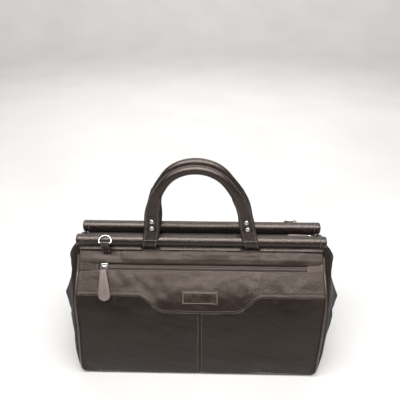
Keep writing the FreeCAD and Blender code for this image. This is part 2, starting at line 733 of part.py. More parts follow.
make_base()
make_lower_panels()
make_lining()
make_gussets()
make_piping()
make_upper_panels()
make_rolls()
make_top_zip()
make_pocket()
make_patch()
make_pocket_slider()
make_pocket_pull()
make_top_slider()
make_top_pull()
make_d_rings()
for face, side, lean in (("front", FRONT, d.front_lean), ("back", BACK, d.back_lean)):
    make_handle(face, side, lean)
    make_rivets(face, side, lean)
doc.recompute()

broken = [item.Label for item in doc.Objects if {"Invalid", "Error"} & set(item.State)]
empty = [item.Label for item in pieces if item.Shape.isNull() or not item.Shape.isValid()]
if broken or empty:
    raise SystemExit(f"not built: {broken} {empty}")

os.makedirs("parts", exist_ok=True)
for item in pieces:
    item.Shape.exportStep(f"parts/{item.Label}.step")
print(len(pieces), "pieces")
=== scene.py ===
import math

import bmesh
import bpy
import numpy as np
from mathutils import Matrix, Vector, noise


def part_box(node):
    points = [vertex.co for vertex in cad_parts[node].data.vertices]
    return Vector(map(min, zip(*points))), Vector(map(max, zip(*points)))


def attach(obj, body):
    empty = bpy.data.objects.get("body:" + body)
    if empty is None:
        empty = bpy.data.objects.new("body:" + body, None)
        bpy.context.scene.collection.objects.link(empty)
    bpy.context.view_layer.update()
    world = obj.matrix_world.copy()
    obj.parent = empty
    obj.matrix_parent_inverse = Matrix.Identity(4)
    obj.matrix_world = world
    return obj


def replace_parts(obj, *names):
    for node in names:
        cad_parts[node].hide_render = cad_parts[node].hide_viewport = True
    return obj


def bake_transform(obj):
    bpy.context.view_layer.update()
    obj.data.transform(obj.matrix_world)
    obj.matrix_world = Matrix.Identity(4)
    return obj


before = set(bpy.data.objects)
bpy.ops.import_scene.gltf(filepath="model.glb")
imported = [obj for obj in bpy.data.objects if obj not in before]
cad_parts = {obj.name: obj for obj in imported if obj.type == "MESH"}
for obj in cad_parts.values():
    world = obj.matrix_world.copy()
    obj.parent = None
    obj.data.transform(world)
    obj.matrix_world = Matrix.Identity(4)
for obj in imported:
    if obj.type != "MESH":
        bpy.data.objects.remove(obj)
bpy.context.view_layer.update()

# A soft leather doctor bag, closed. X runs along the bag, Y from front to back and Z up, in metres.
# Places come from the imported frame's boxes, and the sizes of soft shapes are given in millimetres.


# ================================================================ lower panels
# Two panels of thin calf leather at the front and one at the back, sewn to their neighbours while flat.
# They run under the yoke at its curved seam, puff out a little between seams, and turn in at the base.

MM = 0.001
FRONT, BACK = -1.0, 1.0
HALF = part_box("front_yoke")[1][0]
FLOOR_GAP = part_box("base_panel")[0][2]
CORNER = 11 * MM


def ease(value, low, high):
    """0 below low, 1 above high, smooth between."""
    t = min(1.0, max(0.0, (value - low) / (high - low)))
    return t * t * (3 - 2 * t)


def wander(point, scale, seed):
    """Smooth noise from -1 to 1 at a point, the same on every run."""
    return noise.noise(Vector(point) * scale + Vector((seed * 13.7, seed * 7.3, seed * 3.1)))


def smooth_path(points, per_span=8):
    """Points along a Catmull-Rom curve through the given ones."""
    points = [Vector(p) for p in points]
    line = []
    for i in range(len(points) - 1):
        p1, p2 = points[i], points[i + 1]
        p0 = points[i - 1] if i > 0 else p1 * 2 - p2
        p3 = points[i + 2] if i + 2 < len(points) else p2 * 2 - p1
        for k in range(per_span):
            t = k / per_span
            line.append(0.5 * ((2 * p1) + (p2 - p0) * t + (2 * p0 - 5 * p1 + 4 * p2 - p3) * t * t
                               + (3 * p1 - p0 - 3 * p2 + p3) * t ** 3))
    line.append(points[-1])
    return line


def walked(line):
    """How far along a line of points each point is."""
    reached = [0.0]
    for a, b in zip(line, line[1:]):
        reached.append(reached[-1] + (Vector(b) - Vector(a)).length)
    return reached


def spans_at(reached, goals):
    """For each distance along a line, the span it falls in and the share of that span passed."""
    span = 0
    for goal in goals:
        while span < len(reached) - 2 and reached[span + 1] < goal:
            span += 1
        length = reached[span + 1] - reached[span]
        yield span, (goal - reached[span]) / length if length else 0


def even_path(points, step):
    """The same line with points an even step apart."""
    reached = walked(points)
    count = max(2, round(reached[-1] / step) + 1)
    goals = [reached[-1] * k / (count - 1) for k in range(count)]
    return [points[span].lerp(points[span + 1], share) for span, share in spans_at(reached, goals)]


def directions(line, closed=False):
    """Which way a line runs at each of its points."""
    count = len(line)
    runs = []
    for i in range(count):
        after = line[(i + 1) % count] if closed or i + 1 < count else line[i]
        before = line[i - 1] if closed or i > 0 else line[i]
        runs.append((after - before).normalized())
    return runs


# The side view of the front face: distance out from the middle, and height, in millimetres.
FACE = [(99.0, 3.0), (105.6, 4.0), (108.8, 8.2), (108.6, 24.0), (105.2, 60.0), (100.6, 105.0),
        (97.0, 128.0), (93.0, 150.0), (88.6, 166.0), (81.6, 179.5), (71.5, 191.6), (60.4, 202.6),
        (51.0, 210.9), (42.4, 221.3), (35.6, 229.5), (31.2, 236.0), (28.0, 241.2), (24.8, 245.2)]
FACE_LINE = even_path(smooth_path([(0, out, up) for out, up in FACE], 12), 0.5)
FACE_UP = np.array([p.z for p in FACE_LINE]) * MM
FACE_OUT = np.array([p.y for p in FACE_LINE]) * MM
FACE_RUN = directions(FACE_LINE)


def face_at(up):
    """Distance out and the outward normal (out, up) of the face at a height."""
    out = float(np.interp(up, FACE_UP, FACE_OUT))
    run = FACE_RUN[int(np.clip(np.searchsorted(FACE_UP, up), 0, len(FACE_RUN) - 1))]
    return out, Vector((run.z, -run.y)).normalized()


def side_limit(up):
    """Half width of the front at a height: rounded off at the bottom corners."""
    drop = FLOOR_GAP + CORNER - up
    if drop <= 0:
        return HALF
    return HALF - CORNER + math.sqrt(max(0.0, CORNER ** 2 - drop ** 2))


def relief(side, x, up):
    """How far the soft face stands out at a place: puffed between its seams, with slack creases."""
    seed = 1.0 if side < 0 else 21.0
    edge = 1 - min(1.0, abs(x) / HALF) ** 10
    slack = 0.12 + ease(up, 0.140, 0.165)
    puff = 1.6 * MM * edge * ease(up, 0.01, 0.05)
    broad = 1.5 * MM * wander((x, 0, up), 13.0, seed) * edge
    broad += 2.6 * MM * wander((x * 0.9, 0, up * 1.3), 24.0, seed + 11) * edge * slack
    broad += 1.0 * MM * wander((x, 0, up * 1.2), 64.0, seed + 12) * edge * slack
    slant = (x * 0.8 + up * 2.6, 0, up * 0.6)
    crease = -0.55 * MM * max(0.0, wander(slant, 38.0, seed + 2)) ** 0.7 * edge
    gather = 0.35 * MM * wander((x * 4.0, 0, up * 0.35), 42.0, seed + 5) * ease(up, 0.205, 0.24)
    sag = 0.55 * MM * wander((x * 0.6, 0, up * 3.0), 30.0, seed + 8)
    sag *= ease(up, 0.13, 0.16) * (1 - ease(up, 0.19, 0.21))
    held_by_zip = 1 - 0.75 * math.exp(-((up - 0.216) / 0.008) ** 2)
    return puff + (broad + crease + gather + sag) * held_by_zip


def face_point(side, x, up, lift=0.0):
    """A point on the front or back face, raised by lift, and the face's normal there."""
    out, normal = face_at(up)
    stand = lift + relief(side, x, up)
    return (Vector((x, side * (out + normal[0] * stand), up + normal[1] * stand)),
            Vector((0, side * normal[0], normal[1])))


# The curved seam between the lower panels and the yoke: low in the middle, high at the sides.
SEAM_LOW, SEAM_HIGH = 152.5 * MM, 179.0 * MM


def seam_up(x):
    """Height of the curved seam."""
    return SEAM_LOW + (SEAM_HIGH - SEAM_LOW) * ease(abs(x), 60 * MM, 110 * MM)


def columns(low, high, step=3.4 * MM):
    """Even places from low to high, about a step apart."""
    return list(np.linspace(low, high, max(2, round((high - low) / step) + 1)))


def settled(spot):
    """Where a point of the standing bag settles: its left end is a little wider near the floor."""
    share = min(1.05, max(0.0, -spot[0] / (220 * MM))) * (1 - ease(spot[2], 15 * MM, 125 * MM))
    return spot[0] - 6.0 * MM * share, spot[1], spot[2]


def jaw_blend(piece, side):
    """Bakes a soft piece's placement into its mesh; it is not bent between the base and the upper body."""
    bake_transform(piece)


def new_piece(name, work, materials, rides=None):
    """Settles a modelled skin, turns its faces outwards and makes it an object.

    rides is the body that carries it, or FRONT or BACK for a soft piece, whose placement is then only baked in.
    """
    for vert in work.verts:
        vert.co = settled(vert.co)
    bmesh.ops.recalc_face_normals(work, faces=work.faces)
    for face in work.faces:
        face.smooth = True
    mesh = bpy.data.meshes.new(name)
    work.to_mesh(mesh)
    work.free()
    for material in materials:
        mesh.materials.append(material)
    piece = bpy.data.objects.new(name, mesh)
    bpy.context.scene.collection.objects.link(piece)
    if isinstance(rides, str):
        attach(piece, rides)
    elif rides:
        jaw_blend(piece, rides)
    return piece


def thick_sheet(name, rows, material, rides, thickness, rim=0.35):
    """A sheet of leather or cloth laid over rows of (point, outward normal), with rounded cut edges.

    The outer face keeps the points, and the inner face lies a thickness below them.
    """
    count, width = len(rows), len(rows[0])
    work = bmesh.new()
    bmesh.ops.create_grid(work, x_segments=width - 1, y_segments=count - 1, size=1.0)
    along = walked([row[width // 2][0] for row in rows])
    across = walked([point for point, _ in rows[count // 2]])
    flat = work.loops.layers.uv.new("flat")
    for face in work.faces:
        for loop in face.loops:
            i, j = divmod(loop.vert.index, width)
            loop[flat].uv = across[j], along[i]
    normal_at = {}
    for vert in work.verts:
        i, j = divmod(vert.index, width)
        vert.co = rows[i][j][0]
        normal_at[tuple(vert.co)] = rows[i][j][1]
    outer = set(work.verts)
    bmesh.ops.extrude_face_region(work, geom=work.faces[:], use_keep_orig=True)
    for vert in work.verts:
        if vert not in outer:
            vert.co -= Vector(normal_at[tuple(vert.co)]) * thickness
    cut_edges = [edge for edge in work.edges if (edge.verts[0] in outer) != (edge.verts[1] in outer)]
    middles = bmesh.ops.subdivide_edges(work, edges=cut_edges, cuts=1)["geom_inner"]
    bmesh.ops.recalc_face_normals(work, faces=work.faces)
    for vert in middles:
        if isinstance(vert, bmesh.types.BMVert):
            vert.co += vert.normal * thickness * rim
    return new_piece(name, work, [material], rides)


def principled(name, rough, metallic=0.0, coat=0.0):
    """A new material, its shader and its node tree."""
    material = bpy.data.materials.new(name)
    material.use_nodes = True
    shader = material.node_tree.nodes["Principled BSDF"]
    shader.inputs["Roughness"].default_value = rough
    shader.inputs["Metallic"].default_value = metallic
    shader.inputs["Coat Weight"].default_value = coat
    return material, shader, material.node_tree


def shader_node(tree, kind, inputs, **settings):
    """Adds a node. inputs gives its sockets fixed values, or the sockets that feed them."""
    made = tree.nodes.new(kind)
    for key, value in settings.items():
        setattr(made, key, value)
    for key, value in dict(inputs).items():
        if isinstance(value, bpy.types.NodeSocket):
            tree.links.new(value, made.inputs[key])
        else:
            made.inputs[key].default_value = value
    return made


def object_place(tree):
    return tree.nodes.new("ShaderNodeTexCoord").outputs["Object"]


def clouds(tree, place, scale, detail, roughness=0.5, distortion=0.0):
    return shader_node(tree, "ShaderNodeTexNoise", {
        "Vector": place, "Scale": scale, "Detail": detail, "Roughness": roughness,
        "Distortion": distortion}).outputs["Fac"]


def calculate(tree, operation, *values):
    return shader_node(tree, "ShaderNodeMath", enumerate(values), operation=operation).outputs["Value"]


def remap(tree, value, from_min, from_max, to_min=0.0, to_max=1.0, kind="LINEAR"):
    return shader_node(tree, "ShaderNodeMapRange", {
        "Value": value, "From Min": from_min, "From Max": from_max, "To Min": to_min,
        "To Max": to_max}, interpolation_type=kind).outputs["Result"]


def colour_ramp(tree, value, stops):
    ramp = tree.nodes.new("ShaderNodeValToRGB")
    elements = ramp.color_ramp.elements
    while len(elements) < len(stops):
        elements.new(0.5)
    for element, (place, colour) in zip(elements, stops):
        element.position = place
        element.color = (*colour, 1.0)
    tree.links.new(value, ramp.inputs["Fac"])
    return ramp.outputs["Color"]


def add_bump(tree, shader, height, strength, distance=0.0003):
    bump = shader_node(tree, "ShaderNodeBump", {"Strength": strength, "Distance": distance, "Height": height})
    tree.links.new(bump.outputs["Normal"], shader.inputs["Normal"])


def leather_group():
    """Grain, creases and tone of leather, shared by every leather material.

    Takes a scale, and gives a tone mask, a wear mask, a roughness shift and a height for bump.
    """
    tree = bpy.data.node_groups.new("leather_surface", "ShaderNodeTree")
    tree.interface.new_socket("Grain", in_out="INPUT", socket_type="NodeSocketFloat")
    for result in ("Tone", "Wear", "Rough", "Height"):
        tree.interface.new_socket(result, in_out="OUTPUT", socket_type="NodeSocketFloat")
    enter, leave = tree.nodes.new("NodeGroupInput"), tree.nodes.new("NodeGroupOutput")
    place = object_place(tree)
    cells = shader_node(tree, "ShaderNodeTexVoronoi", {"Vector": place, "Scale": enter.outputs["Grain"]},
                        feature="DISTANCE_TO_EDGE").outputs["Distance"]
    pebble = remap(tree, cells, 0.0, 0.22, kind="SMOOTHSTEP")
    creases = clouds(tree, place, 55.0, 6.0, 0.62, 1.4)
    fold = calculate(tree, "ABSOLUTE", calculate(tree, "SUBTRACT", creases, 0.5))
    crease_line = remap(tree, fold, 0.0, 0.045, kind="SMOOTHSTEP")
    patches = clouds(tree, place, 9.0, 5.0, 0.55, 0.3)
    speckle = clouds(tree, place, 330.0, 4.0, 0.7)
    tone = shader_node(tree, "ShaderNodeMix", {"Factor": 0.35, 2: patches, 3: speckle}, data_type="FLOAT")
    edges = tree.nodes.new("ShaderNodeNewGeometry").outputs["Pointiness"]
    worn = colour_ramp(tree, edges, [(0.505, (0, 0, 0)), (0.60, (1, 1, 1))])
    height = calculate(tree, "MULTIPLY_ADD", pebble, 0.45, crease_line)
    for result, value in (("Tone", tone.outputs[0]),
                          ("Wear", calculate(tree, "MULTIPLY", worn, speckle)),
                          ("Rough", remap(tree, patches, 0.3, 0.7, -0.10, 0.11)),
                          ("Height", calculate(tree, "MULTIPLY_ADD", speckle, 0.5, height))):
        tree.links.new(value, leave.inputs[result])
    return tree


LEATHER_SURFACE = leather_group()


def leather(name, dark, light, worn, rough, specular=0.5, coat=0.0, bump=0.22):
    """A leather material: two tones, lighter worn edges, and grain as bump."""
    material, shader, tree = principled(name, rough, coat=coat)
    surface = shader_node(tree, "ShaderNodeGroup", {}, node_tree=LEATHER_SURFACE)
    surface.inputs["Grain"].default_value = 900.0
    tones = colour_ramp(tree, surface.outputs["Tone"], [(0.36, dark), (0.66, light)])
    wear = shader_node(tree, "ShaderNodeMix", {
        "Factor": surface.outputs["Wear"], 6: tones, 7: (*worn, 1)}, data_type="RGBA")
    tree.links.new(wear.outputs[2], shader.inputs["Base Color"])
    tree.links.new(calculate(tree, "ADD", surface.outputs["Rough"], rough), shader.inputs["Roughness"])
    add_bump(tree, shader, surface.outputs["Height"], bump, 0.0007)
    shader.inputs["Specular IOR Level"].default_value = specular
    shader.inputs["Specular Tint"].default_value = (1.0, 0.84, 0.75, 1)
    shader.inputs["Coat Roughness"].default_value = 0.3
    return material


PANEL = leather("panel_leather", (0.0050, 0.0032, 0.0025), (0.0125, 0.0085, 0.0067),
                (0.035, 0.025, 0.020), rough=0.33, specular=0.28, bump=0.34)


def lower_panel(name, side, low_x, high_x, cad_node):
    def spot(x, level, share):
        up = level * MM + (seam_up(x) + 3.0 * MM - level * MM) * share
        spread = x * side_limit(up) / HALF
        lift = 0.0
        if side == FRONT:
            lift -= 1.1 * MM * math.exp(-(spread / (2.4 * MM)) ** 2)
            lift += 0.5 * MM * math.exp(-((abs(spread) - 4.6 * MM) / (3.2 * MM)) ** 2)
        return face_point(side, spread, up, lift)

    levels = [(up, 0.0) for up in (3.5, 4.2, 5.4, 7.0, 9.0, 11.5, 14.5, *np.arange(18.0, 150.0, 3.6))]
    levels += [(150.0, k / 7) for k in range(8)]
    rows = [[spot(x, *level) for x in columns(low_x, high_x)] for level in levels]
    piece = thick_sheet(name, rows, PANEL, side, 2.2 * MM)
    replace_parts(piece, cad_node)


lower_panel("front_panel_left", FRONT, -HALF, -0.15 * MM, "front_lower_panel_left")
lower_panel("front_panel_right", FRONT, 0.15 * MM, HALF, "front_lower_panel_right")
lower_panel("back_panel", BACK, -HALF, HALF, "back_lower_panel")


# ================================================================ centre seam's sewing
# The two lower front panels meet at a seam down the middle, with a row of waxed thread on each side.
# The needle goes through the leather between stitches, and so does this thread.

WORLD_UP = Vector((0, 0, 1))


def long_skin(count, segments, place, closed=False):
    """A tube of leather or metal, bent to shape: place gives the point of each ring at each turn."""
    rings = count + 1 if closed else count
    work = bmesh.new()
    bmesh.ops.create_cone(work, cap_ends=not closed, segments=segments, radius1=1, radius2=1,
                          depth=rings - 1)
    lengthwise = [edge for edge in work.edges if abs(edge.verts[0].co.z - edge.verts[1].co.z) > 0.5]
    if rings > 2:
        bmesh.ops.subdivide_edges(work, edges=lengthwise, cuts=rings - 2)
    for vert in work.verts:
        ring = round(vert.co.z + (rings - 1) / 2) % count
        vert.co = place(ring, math.atan2(vert.co.y, vert.co.x))
    if closed:
        bmesh.ops.remove_doubles(work, verts=work.verts, dist=1e-7)
    return work


def tube(name, line, material, rides, radius, side=WORLD_UP, segments=12, closed=False):
    """A tube along a line. radius is a number, or a function of the share along it: (across, deep)."""
    line = [Vector(p) for p in line]
    frames = []
    for i, (spot, run) in enumerate(zip(line, directions(line, closed))):
        reach = radius(i / max(1, len(line) - 1)) if callable(radius) else (radius, radius)
        first = side.cross(run)
        if first.length < 1e-6:
            first = run.orthogonal()
        first.normalize()
        frames.append((spot, first * reach[0], run.cross(first) * reach[1]))

    def place(ring, turn):
        spot, wide, deep = frames[ring]
        return spot + wide * math.cos(turn) + deep * math.sin(turn)

    return new_piece(name, long_skin(len(line), segments, place, closed), [material], rides)


def stitches(name, row, material, rides, pitch=3.2 * MM, length=2.3 * MM, thick=0.42 * MM):
    """Sewing along a row of (point, normal): one thread that dives into the leather between stitches."""
    line, normals = [Vector(p) for p, _ in row], [Vector(n) for _, n in row]
    reached = walked(line)
    count = max(1, int(reached[-1] / pitch))
    goals = [(k + 0.5) * reached[-1] / count for k in range(count)]
    thread = []
    for span, share in spans_at(reached, goals):
        spot = line[span].lerp(line[span + 1], share)
        normal = normals[span].lerp(normals[span + 1], share).normalized()
        run = (line[span + 1] - line[span]).normalized()
        for along, rise in ((-0.5, -1.5), (-0.36, 0.25), (0.0, 0.5), (0.36, 0.25), (0.5, -1.5)):
            thread.append(spot + run * (along * length) + normal * (rise * thick))
    piece = tube(name, thread, material, rides, thick, side=normals[0], segments=6)


def plain_noise(name, dark, light, rough, scale, bump=0.2):
    """Thread, board or plastic: two close tones of noise with the same noise as relief."""
    material, shader, tree = principled(name, rough)
    grain = clouds(tree, object_place(tree), scale, 4.0, 0.6)
    tree.links.new(colour_ramp(tree, grain, [(0.3, dark), (0.7, light)]), shader.inputs["Base Color"])
    add_bump(tree, shader, grain, bump)
    return material


THREAD = plain_noise("thread", (0.045, 0.033, 0.028), (0.11, 0.085, 0.073), 0.5, 2500.0)

for number, x in enumerate((-3.4 * MM, 3.4 * MM)):
    row = [face_point(FRONT, x, up, 0.55 * MM) for up in np.arange(9.0, 150.0, 2.0) * MM]
    stitches(f"centre_stitches_{number}", row, THREAD, FRONT)


# ================================================================ yoke and upper back panel
# The yoke is one piece of leather across the top of the front, and the upper back panel is its twin.
# The lower edge is folded under, laps over the lower panels and is sewn down along the curve.

ZIP_LOW = 211.4 * MM
BAG = leather("bag_leather", (0.0062, 0.0040, 0.0031), (0.0155, 0.0105, 0.0083), (0.035, 0.025, 0.020),
              rough=0.33, specular=0.38, bump=0.34)
# The fold's bead uses leather coloured far lighter than the yoke: a painted highlight along the folded edge.
FOLD_PAINTED_HIGHLIGHT = leather("folded_edge_painted_highlight", (0.060, 0.046, 0.039), (0.13, 0.104, 0.09), (0.18, 0.145, 0.125),
               rough=0.28, specular=0.6)


def yoke(name, side, cad_node):
    def spot(t, x):
        up = seam_up(x) + (ZIP_LOW - seam_up(x)) * t ** 0.9
        from_edge = (up - seam_up(x)) / MM
        lift = 2.3 * MM * (1 - 0.75 * ease(from_edge, 0.0, 14.0)) + 0.5 * MM
        lift += 0.7 * MM * math.exp(-((from_edge - 1.5) / 1.6) ** 2)
        lift -= 0.5 * MM * math.exp(-((from_edge - 4.0) / 1.3) ** 2)
        return face_point(side, x, up, lift)

    rows = [[spot(i / 21, x) for x in columns(-HALF, HALF, 2.8 * MM)] for i in range(22)]
    piece = thick_sheet(name, rows, BAG, side, 2.0 * MM, rim=0.5)
    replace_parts(piece, cad_node)


def face_stitches(name, side, xs, up_of, lift):
    """A row of sewing across the front or back: up_of gives its height at an x."""
    stitches(name, [face_point(side, x, up_of(x), lift) for x in xs], THREAD, side)


yoke("yoke_front", FRONT, "front_yoke")
yoke("upper_panel_back", BACK, "back_upper_panel")
for side, label in ((FRONT, "front"), (BACK, "back")):
    face_stitches(f"yoke_stitches_{label}", side, columns(-HALF + 3 * MM, HALF - 3 * MM, 2.4 * MM),
                  lambda x: seam_up(x) + 4.0 * MM, 1.9 * MM)
    fold = [face_point(side, x, seam_up(x) + 0.2 * MM, 2.0 * MM)[0] for x in columns(-HALF, HALF, 2.4 * MM)]
    # The bead's lighter leather is a painted highlight along the fold.
    bead = tube(f"yoke_fold_{label}", fold, FOLD_PAINTED_HIGHLIGHT, side, 1.05 * MM, side=Vector((0, side, 0)), segments=10)


# ================================================================ top panels
# A strip of leather from the pocket zip up to the roll, folded over along the zip and sewn beside it.
# At the back it meets the upper panel at a plain sewn seam.

ZIP_HIGH = 220.4 * MM
PANEL_TOP = 245.0 * MM


def top_panel(name, side, low_up, body):
    def spot(up, x):
        rise = (up - low_up) / MM
        lift = 0.9 * MM + 0.3 * MM * math.exp(-((rise - 1.0) / 1.4) ** 2)
        lift -= 0.3 * MM * math.exp(-((rise - 4.0) / 1.0) ** 2)
        lift += 1.8 * MM * math.exp(-((rise - 5.5) / 6.0) ** 2)
        lift -= 1.6 * MM * ease(rise, 13.0, 20.0)
        return face_point(side, x, up, lift)

    rows = [[spot(float(up), x) for x in columns(-HALF, HALF, 2.8 * MM)]
            for up in np.linspace(low_up, PANEL_TOP, 14)]
    piece = thick_sheet(name, rows, BAG, body, 1.8 * MM, rim=0.5)
    return piece


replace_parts(top_panel("top_panel_front", FRONT, ZIP_HIGH, "front_jaw"), "front_top_panel")
top_panel("top_panel_back", BACK, ZIP_LOW + 0.6 * MM, "back_jaw")

seam_xs = columns(-HALF + 4 * MM, HALF - 4 * MM, 3 * MM)
face_stitches("zip_stitches_low", FRONT, seam_xs, lambda x: ZIP_LOW - 3.2 * MM, 0.75 * MM)
face_stitches("zip_stitches_high", FRONT, seam_xs, lambda x: ZIP_HIGH + 4.0 * MM, 0.4 * MM)
face_stitches("back_seam_stitches", BACK, seam_xs, lambda x: ZIP_LOW + 4.4 * MM, 0.4 * MM)


# ================================================================ gussets
# Each end is a soft leather gusset, made here as a front and a back half that meet at its ridge. It
# swells out beside the piping, and slack folds run down it to a ridge sharpest a little below half height.

# Height, and distance out from the bag's middle, in millimetres.
RIDGE = [(6.8, 236.0), (14.0, 241.0), (36.0, 252.5), (60.0, 262.0), (84.0, 271.5), (105.0, 278.6),
         (124.0, 271.5), (146.0, 262.4), (166.0, 255.2), (184.0, 252.8), (205.0, 253.6), (222.0, 246.0),
         (236.0, 235.0), (243.5, 228.0)]
BULGE = [(6.8, 231.0), (21.0, 236.0), (46.0, 239.8), (82.0, 240.6), (120.0, 240.0), (150.0, 238.0),
         (180.0, 236.0), (205.0, 234.5), (222.0, 231.6), (236.0, 228.6), (243.5, 226.0)]
ENDS = ((-1.0, "left"), (1.0, "right"))
END = leather("end_leather", (0.0045, 0.0029, 0.0022), (0.0110, 0.0073, 0.0058), (0.02, 0.015, 0.012),
              rough=0.46, specular=0.07, bump=0.30)


def curve_of(table):
    """A smooth function of height from (height, value) pairs in millimetres."""
    line = smooth_path([(0, value, up) for up, value in table], 10)
    ups = np.array([p.z for p in line]) * MM
    values = np.array([p.y for p in line]) * MM
    return lambda up: float(np.interp(up, ups, values))


ridge_at, bulge_at = curve_of(RIDGE), curve_of(BULGE)


def gusset(face, end, side, x_sign):
    steps = 34
    seed = 3 + (2 if side > 0 else 0) + (5 if x_sign > 0 else 0)
    swell_in = 0.11

    def spot(up, t):
        start = side_limit(up) + 3.2 * MM
        swell = (1 - math.exp(-t / swell_in)) / (1 - math.exp(-1 / swell_in))
        reach = start + (bulge_at(up) - start) * swell
        reach += (ridge_at(up) - bulge_at(up)) * max(0.0, (t - 0.12) / 0.88) ** 1.35
        out = face_at(min(up, 0.2445))[0] - 1.2 * MM
        calm = math.sin(math.pi * min(1.0, t * 1.15)) * ease(1 - t, 0.0, 0.12) * ease(t, 0.0, 0.2)
        fold = 2.4 * MM * wander((t * 0.5, up * 0.9, 0), 9.0, seed)
        fold += 1.5 * MM * math.sin(t * 15 + 1.3 * wander((t, up * 6, 0), 3.0, seed + 4) + up * 16)
        fold += 0.8 * MM * wander((t * 1.2, up * 5, 0), 14.0, seed + 6)
        return Vector((x_sign * (reach + fold * calm), side * out * (1 - t), up))

    spots = [[spot(float(up) * MM, j / (steps - 1)) for j in range(steps)]
             for up in np.linspace(7.6, 243.0, 78)]
    rows = []
    for i, line in enumerate(spots):
        row = []
        for j, point in enumerate(line):
            upright = spots[min(i + 1, len(spots) - 1)][j] - spots[max(i - 1, 0)][j]
            level = line[min(j + 1, steps - 1)] - line[max(j - 1, 0)]
            normal = level.cross(upright).normalized()
            row.append((point, -normal if normal.x * x_sign < 0 else normal))
        rows.append(row)
    piece = thick_sheet(f"gusset_{face}_{end}_soft", rows, END, side, 2.0 * MM)
    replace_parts(piece, f"gusset_{face}_{end}")


for side, face in ((FRONT, "front"), (BACK, "back")):
    for x_sign, end in ENDS:
        gusset(face, end, side, x_sign)


# ================================================================ piping
# A leather strip folded round a cord and caught in the seam between face and gusset. It runs down the
# seam, round the bottom corner, and along under the front or back edge to the middle.

# The piping's tones are about twice as light as the bag leather: its own dark leather colour with a painted
# highlight streak along each seam.
PIPING_PAINTED_HIGHLIGHT = leather("piping_leather", (0.010, 0.0072, 0.0058), (0.024, 0.018, 0.015), (0.04, 0.031, 0.026),
                 rough=0.24, specular=0.6, coat=0.25)


def middle(cad_node):
    """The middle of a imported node's box."""
    return Vector([(a + b) / 2 for a, b in zip(*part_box(cad_node))])


def piping(face, end, side, x_sign):
    seam_x = middle("piping_lower_front_right").x
    line = []
    for up in (231.5, 231.0, 230.0, *np.arange(228.0, 18.0, -3.0)):
        up = float(up) * MM
        wave = 0.35 * MM * wander((0, 0, up), 40.0, 3 + x_sign)
        line.append(Vector((x_sign * (seam_x + wave), side * (face_at(up)[0] - 0.2 * MM), up)))
    bend = 13.5 * MM
    centre_x, centre_z = seam_x - bend, FLOOR_GAP + 1.2 * MM + bend
    for k in range(1, 13):
        turn = math.pi / 2 * k / 12
        up = centre_z - bend * math.sin(turn)
        out = face_at(max(up, 4.6 * MM))[0] - 0.4 * MM
        line.append(Vector((x_sign * (centre_x + bend * math.cos(turn)), side * out, up)))
    last = line[-1]
    line += [last - Vector((x_sign * k * centre_x / 59.5, 0, 0)) for k in range(1, 60)]
    # The cord's lighter leather carries a painted highlight down each seam.
    cord = tube(f"piping_{face}_{end}", line, PIPING_PAINTED_HIGHLIGHT, side, 2.0 * MM, side=Vector((0, side, 0)))
    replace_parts(cord, f"piping_lower_{face}_{end}", f"piping_upper_{face}_{end}")


for side, face in ((FRONT, "front"), (BACK, "back")):
    for x_sign, end in ENDS:
        piping(face, end, side, x_sign)


# ================================================================ base leather and board
# A sheet of smooth leather stretched under a stiff fibre board, and sewn in with the panels and gussets.
# The board lies loose inside, so it keeps its plain cut shape.

DARK = leather("dark_leather", (0.0055, 0.0037, 0.0029), (0.0120, 0.0082, 0.0066), (0.03, 0.022, 0.018),
               rough=0.22, specular=0.5, coat=0.12, bump=0.24)


def base_leather():
    low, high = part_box("base_panel")
    tip = ridge_at(6.8 * MM)
    rows = []
    for y in np.linspace(low[1] + 1 * MM, high[1] - 1 * MM, 40):
        half = tip + (HALF + 3 * MM - tip) * (abs(y) / high[1]) ** 1.6 - 1.5 * MM
        rows.append([(Vector((x, y, low[2] + 0.6 * MM + 0.35 * MM * wander((x, y, 0), 16.0, 9))),
                      Vector((0, 0, -1))) for x in np.linspace(-half, half, 84)])
    piece = thick_sheet("base_leather", rows, DARK, "base", 2.2 * MM)
    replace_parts(piece, "base_panel")


def recoat(cad_node, material):
    """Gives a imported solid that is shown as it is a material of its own."""
    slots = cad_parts[cad_node].data.materials
    slots.clear()
    slots.append(material)


base_leather()
recoat("base_board", plain_noise("base_board", (0.24, 0.18, 0.12), (0.36, 0.28, 0.2), 0.85, 260.0))


# ================================================================ studs
# Four low domed nickel feet, turned and pressed, that keep the base leather off the ground. Each one's
# shank goes through leather and board.


def lathe(name, outline, place, axis, material, rides, segments=32):
    """A turned piece: outline is (radius, height along axis) pairs, spun about the axis at a place."""
    place, axis = Vector(place), Vector(axis).normalized()
    first = axis.orthogonal().normalized()
    work = bmesh.new()
    corners = [work.verts.new(place + axis * height + first * radius) for radius, height in outline]
    edges = [work.edges.new(pair) for pair in zip(corners, corners[1:])]
    bmesh.ops.spin(work, geom=corners + edges, cent=place, axis=axis, angle=math.tau, steps=segments,
                   use_merge=True)
    bmesh.ops.remove_doubles(work, verts=work.verts, dist=1e-6)
    return new_piece(name, work, [material], rides)


def metal(name, colour, rough):
    """Plated metal with faint scratches and smudges."""
    material, shader, tree = principled(name, rough, metallic=1.0)
    smudge = clouds(tree, object_place(tree), 120.0, 5.0, 0.6)
    spread = remap(tree, smudge, 0.3, 0.7, rough * 0.7, rough * 1.5)
    tree.links.new(spread, shader.inputs["Roughness"])
    tones = colour_ramp(tree, smudge, [(0.3, tuple(c * 0.82 for c in colour)), (0.7, colour)])
    tree.links.new(tones, shader.inputs["Base Color"])
    add_bump(tree, shader, smudge, 0.06, 0.0002)
    return material


NICKEL = metal("nickel", (0.60, 0.585, 0.56), 0.16)
STUD_OUTLINE = ((0.0, 0.0), (0.5, 0.06), (0.76, 0.2), (0.92, 0.5), (1.0, 0.8))

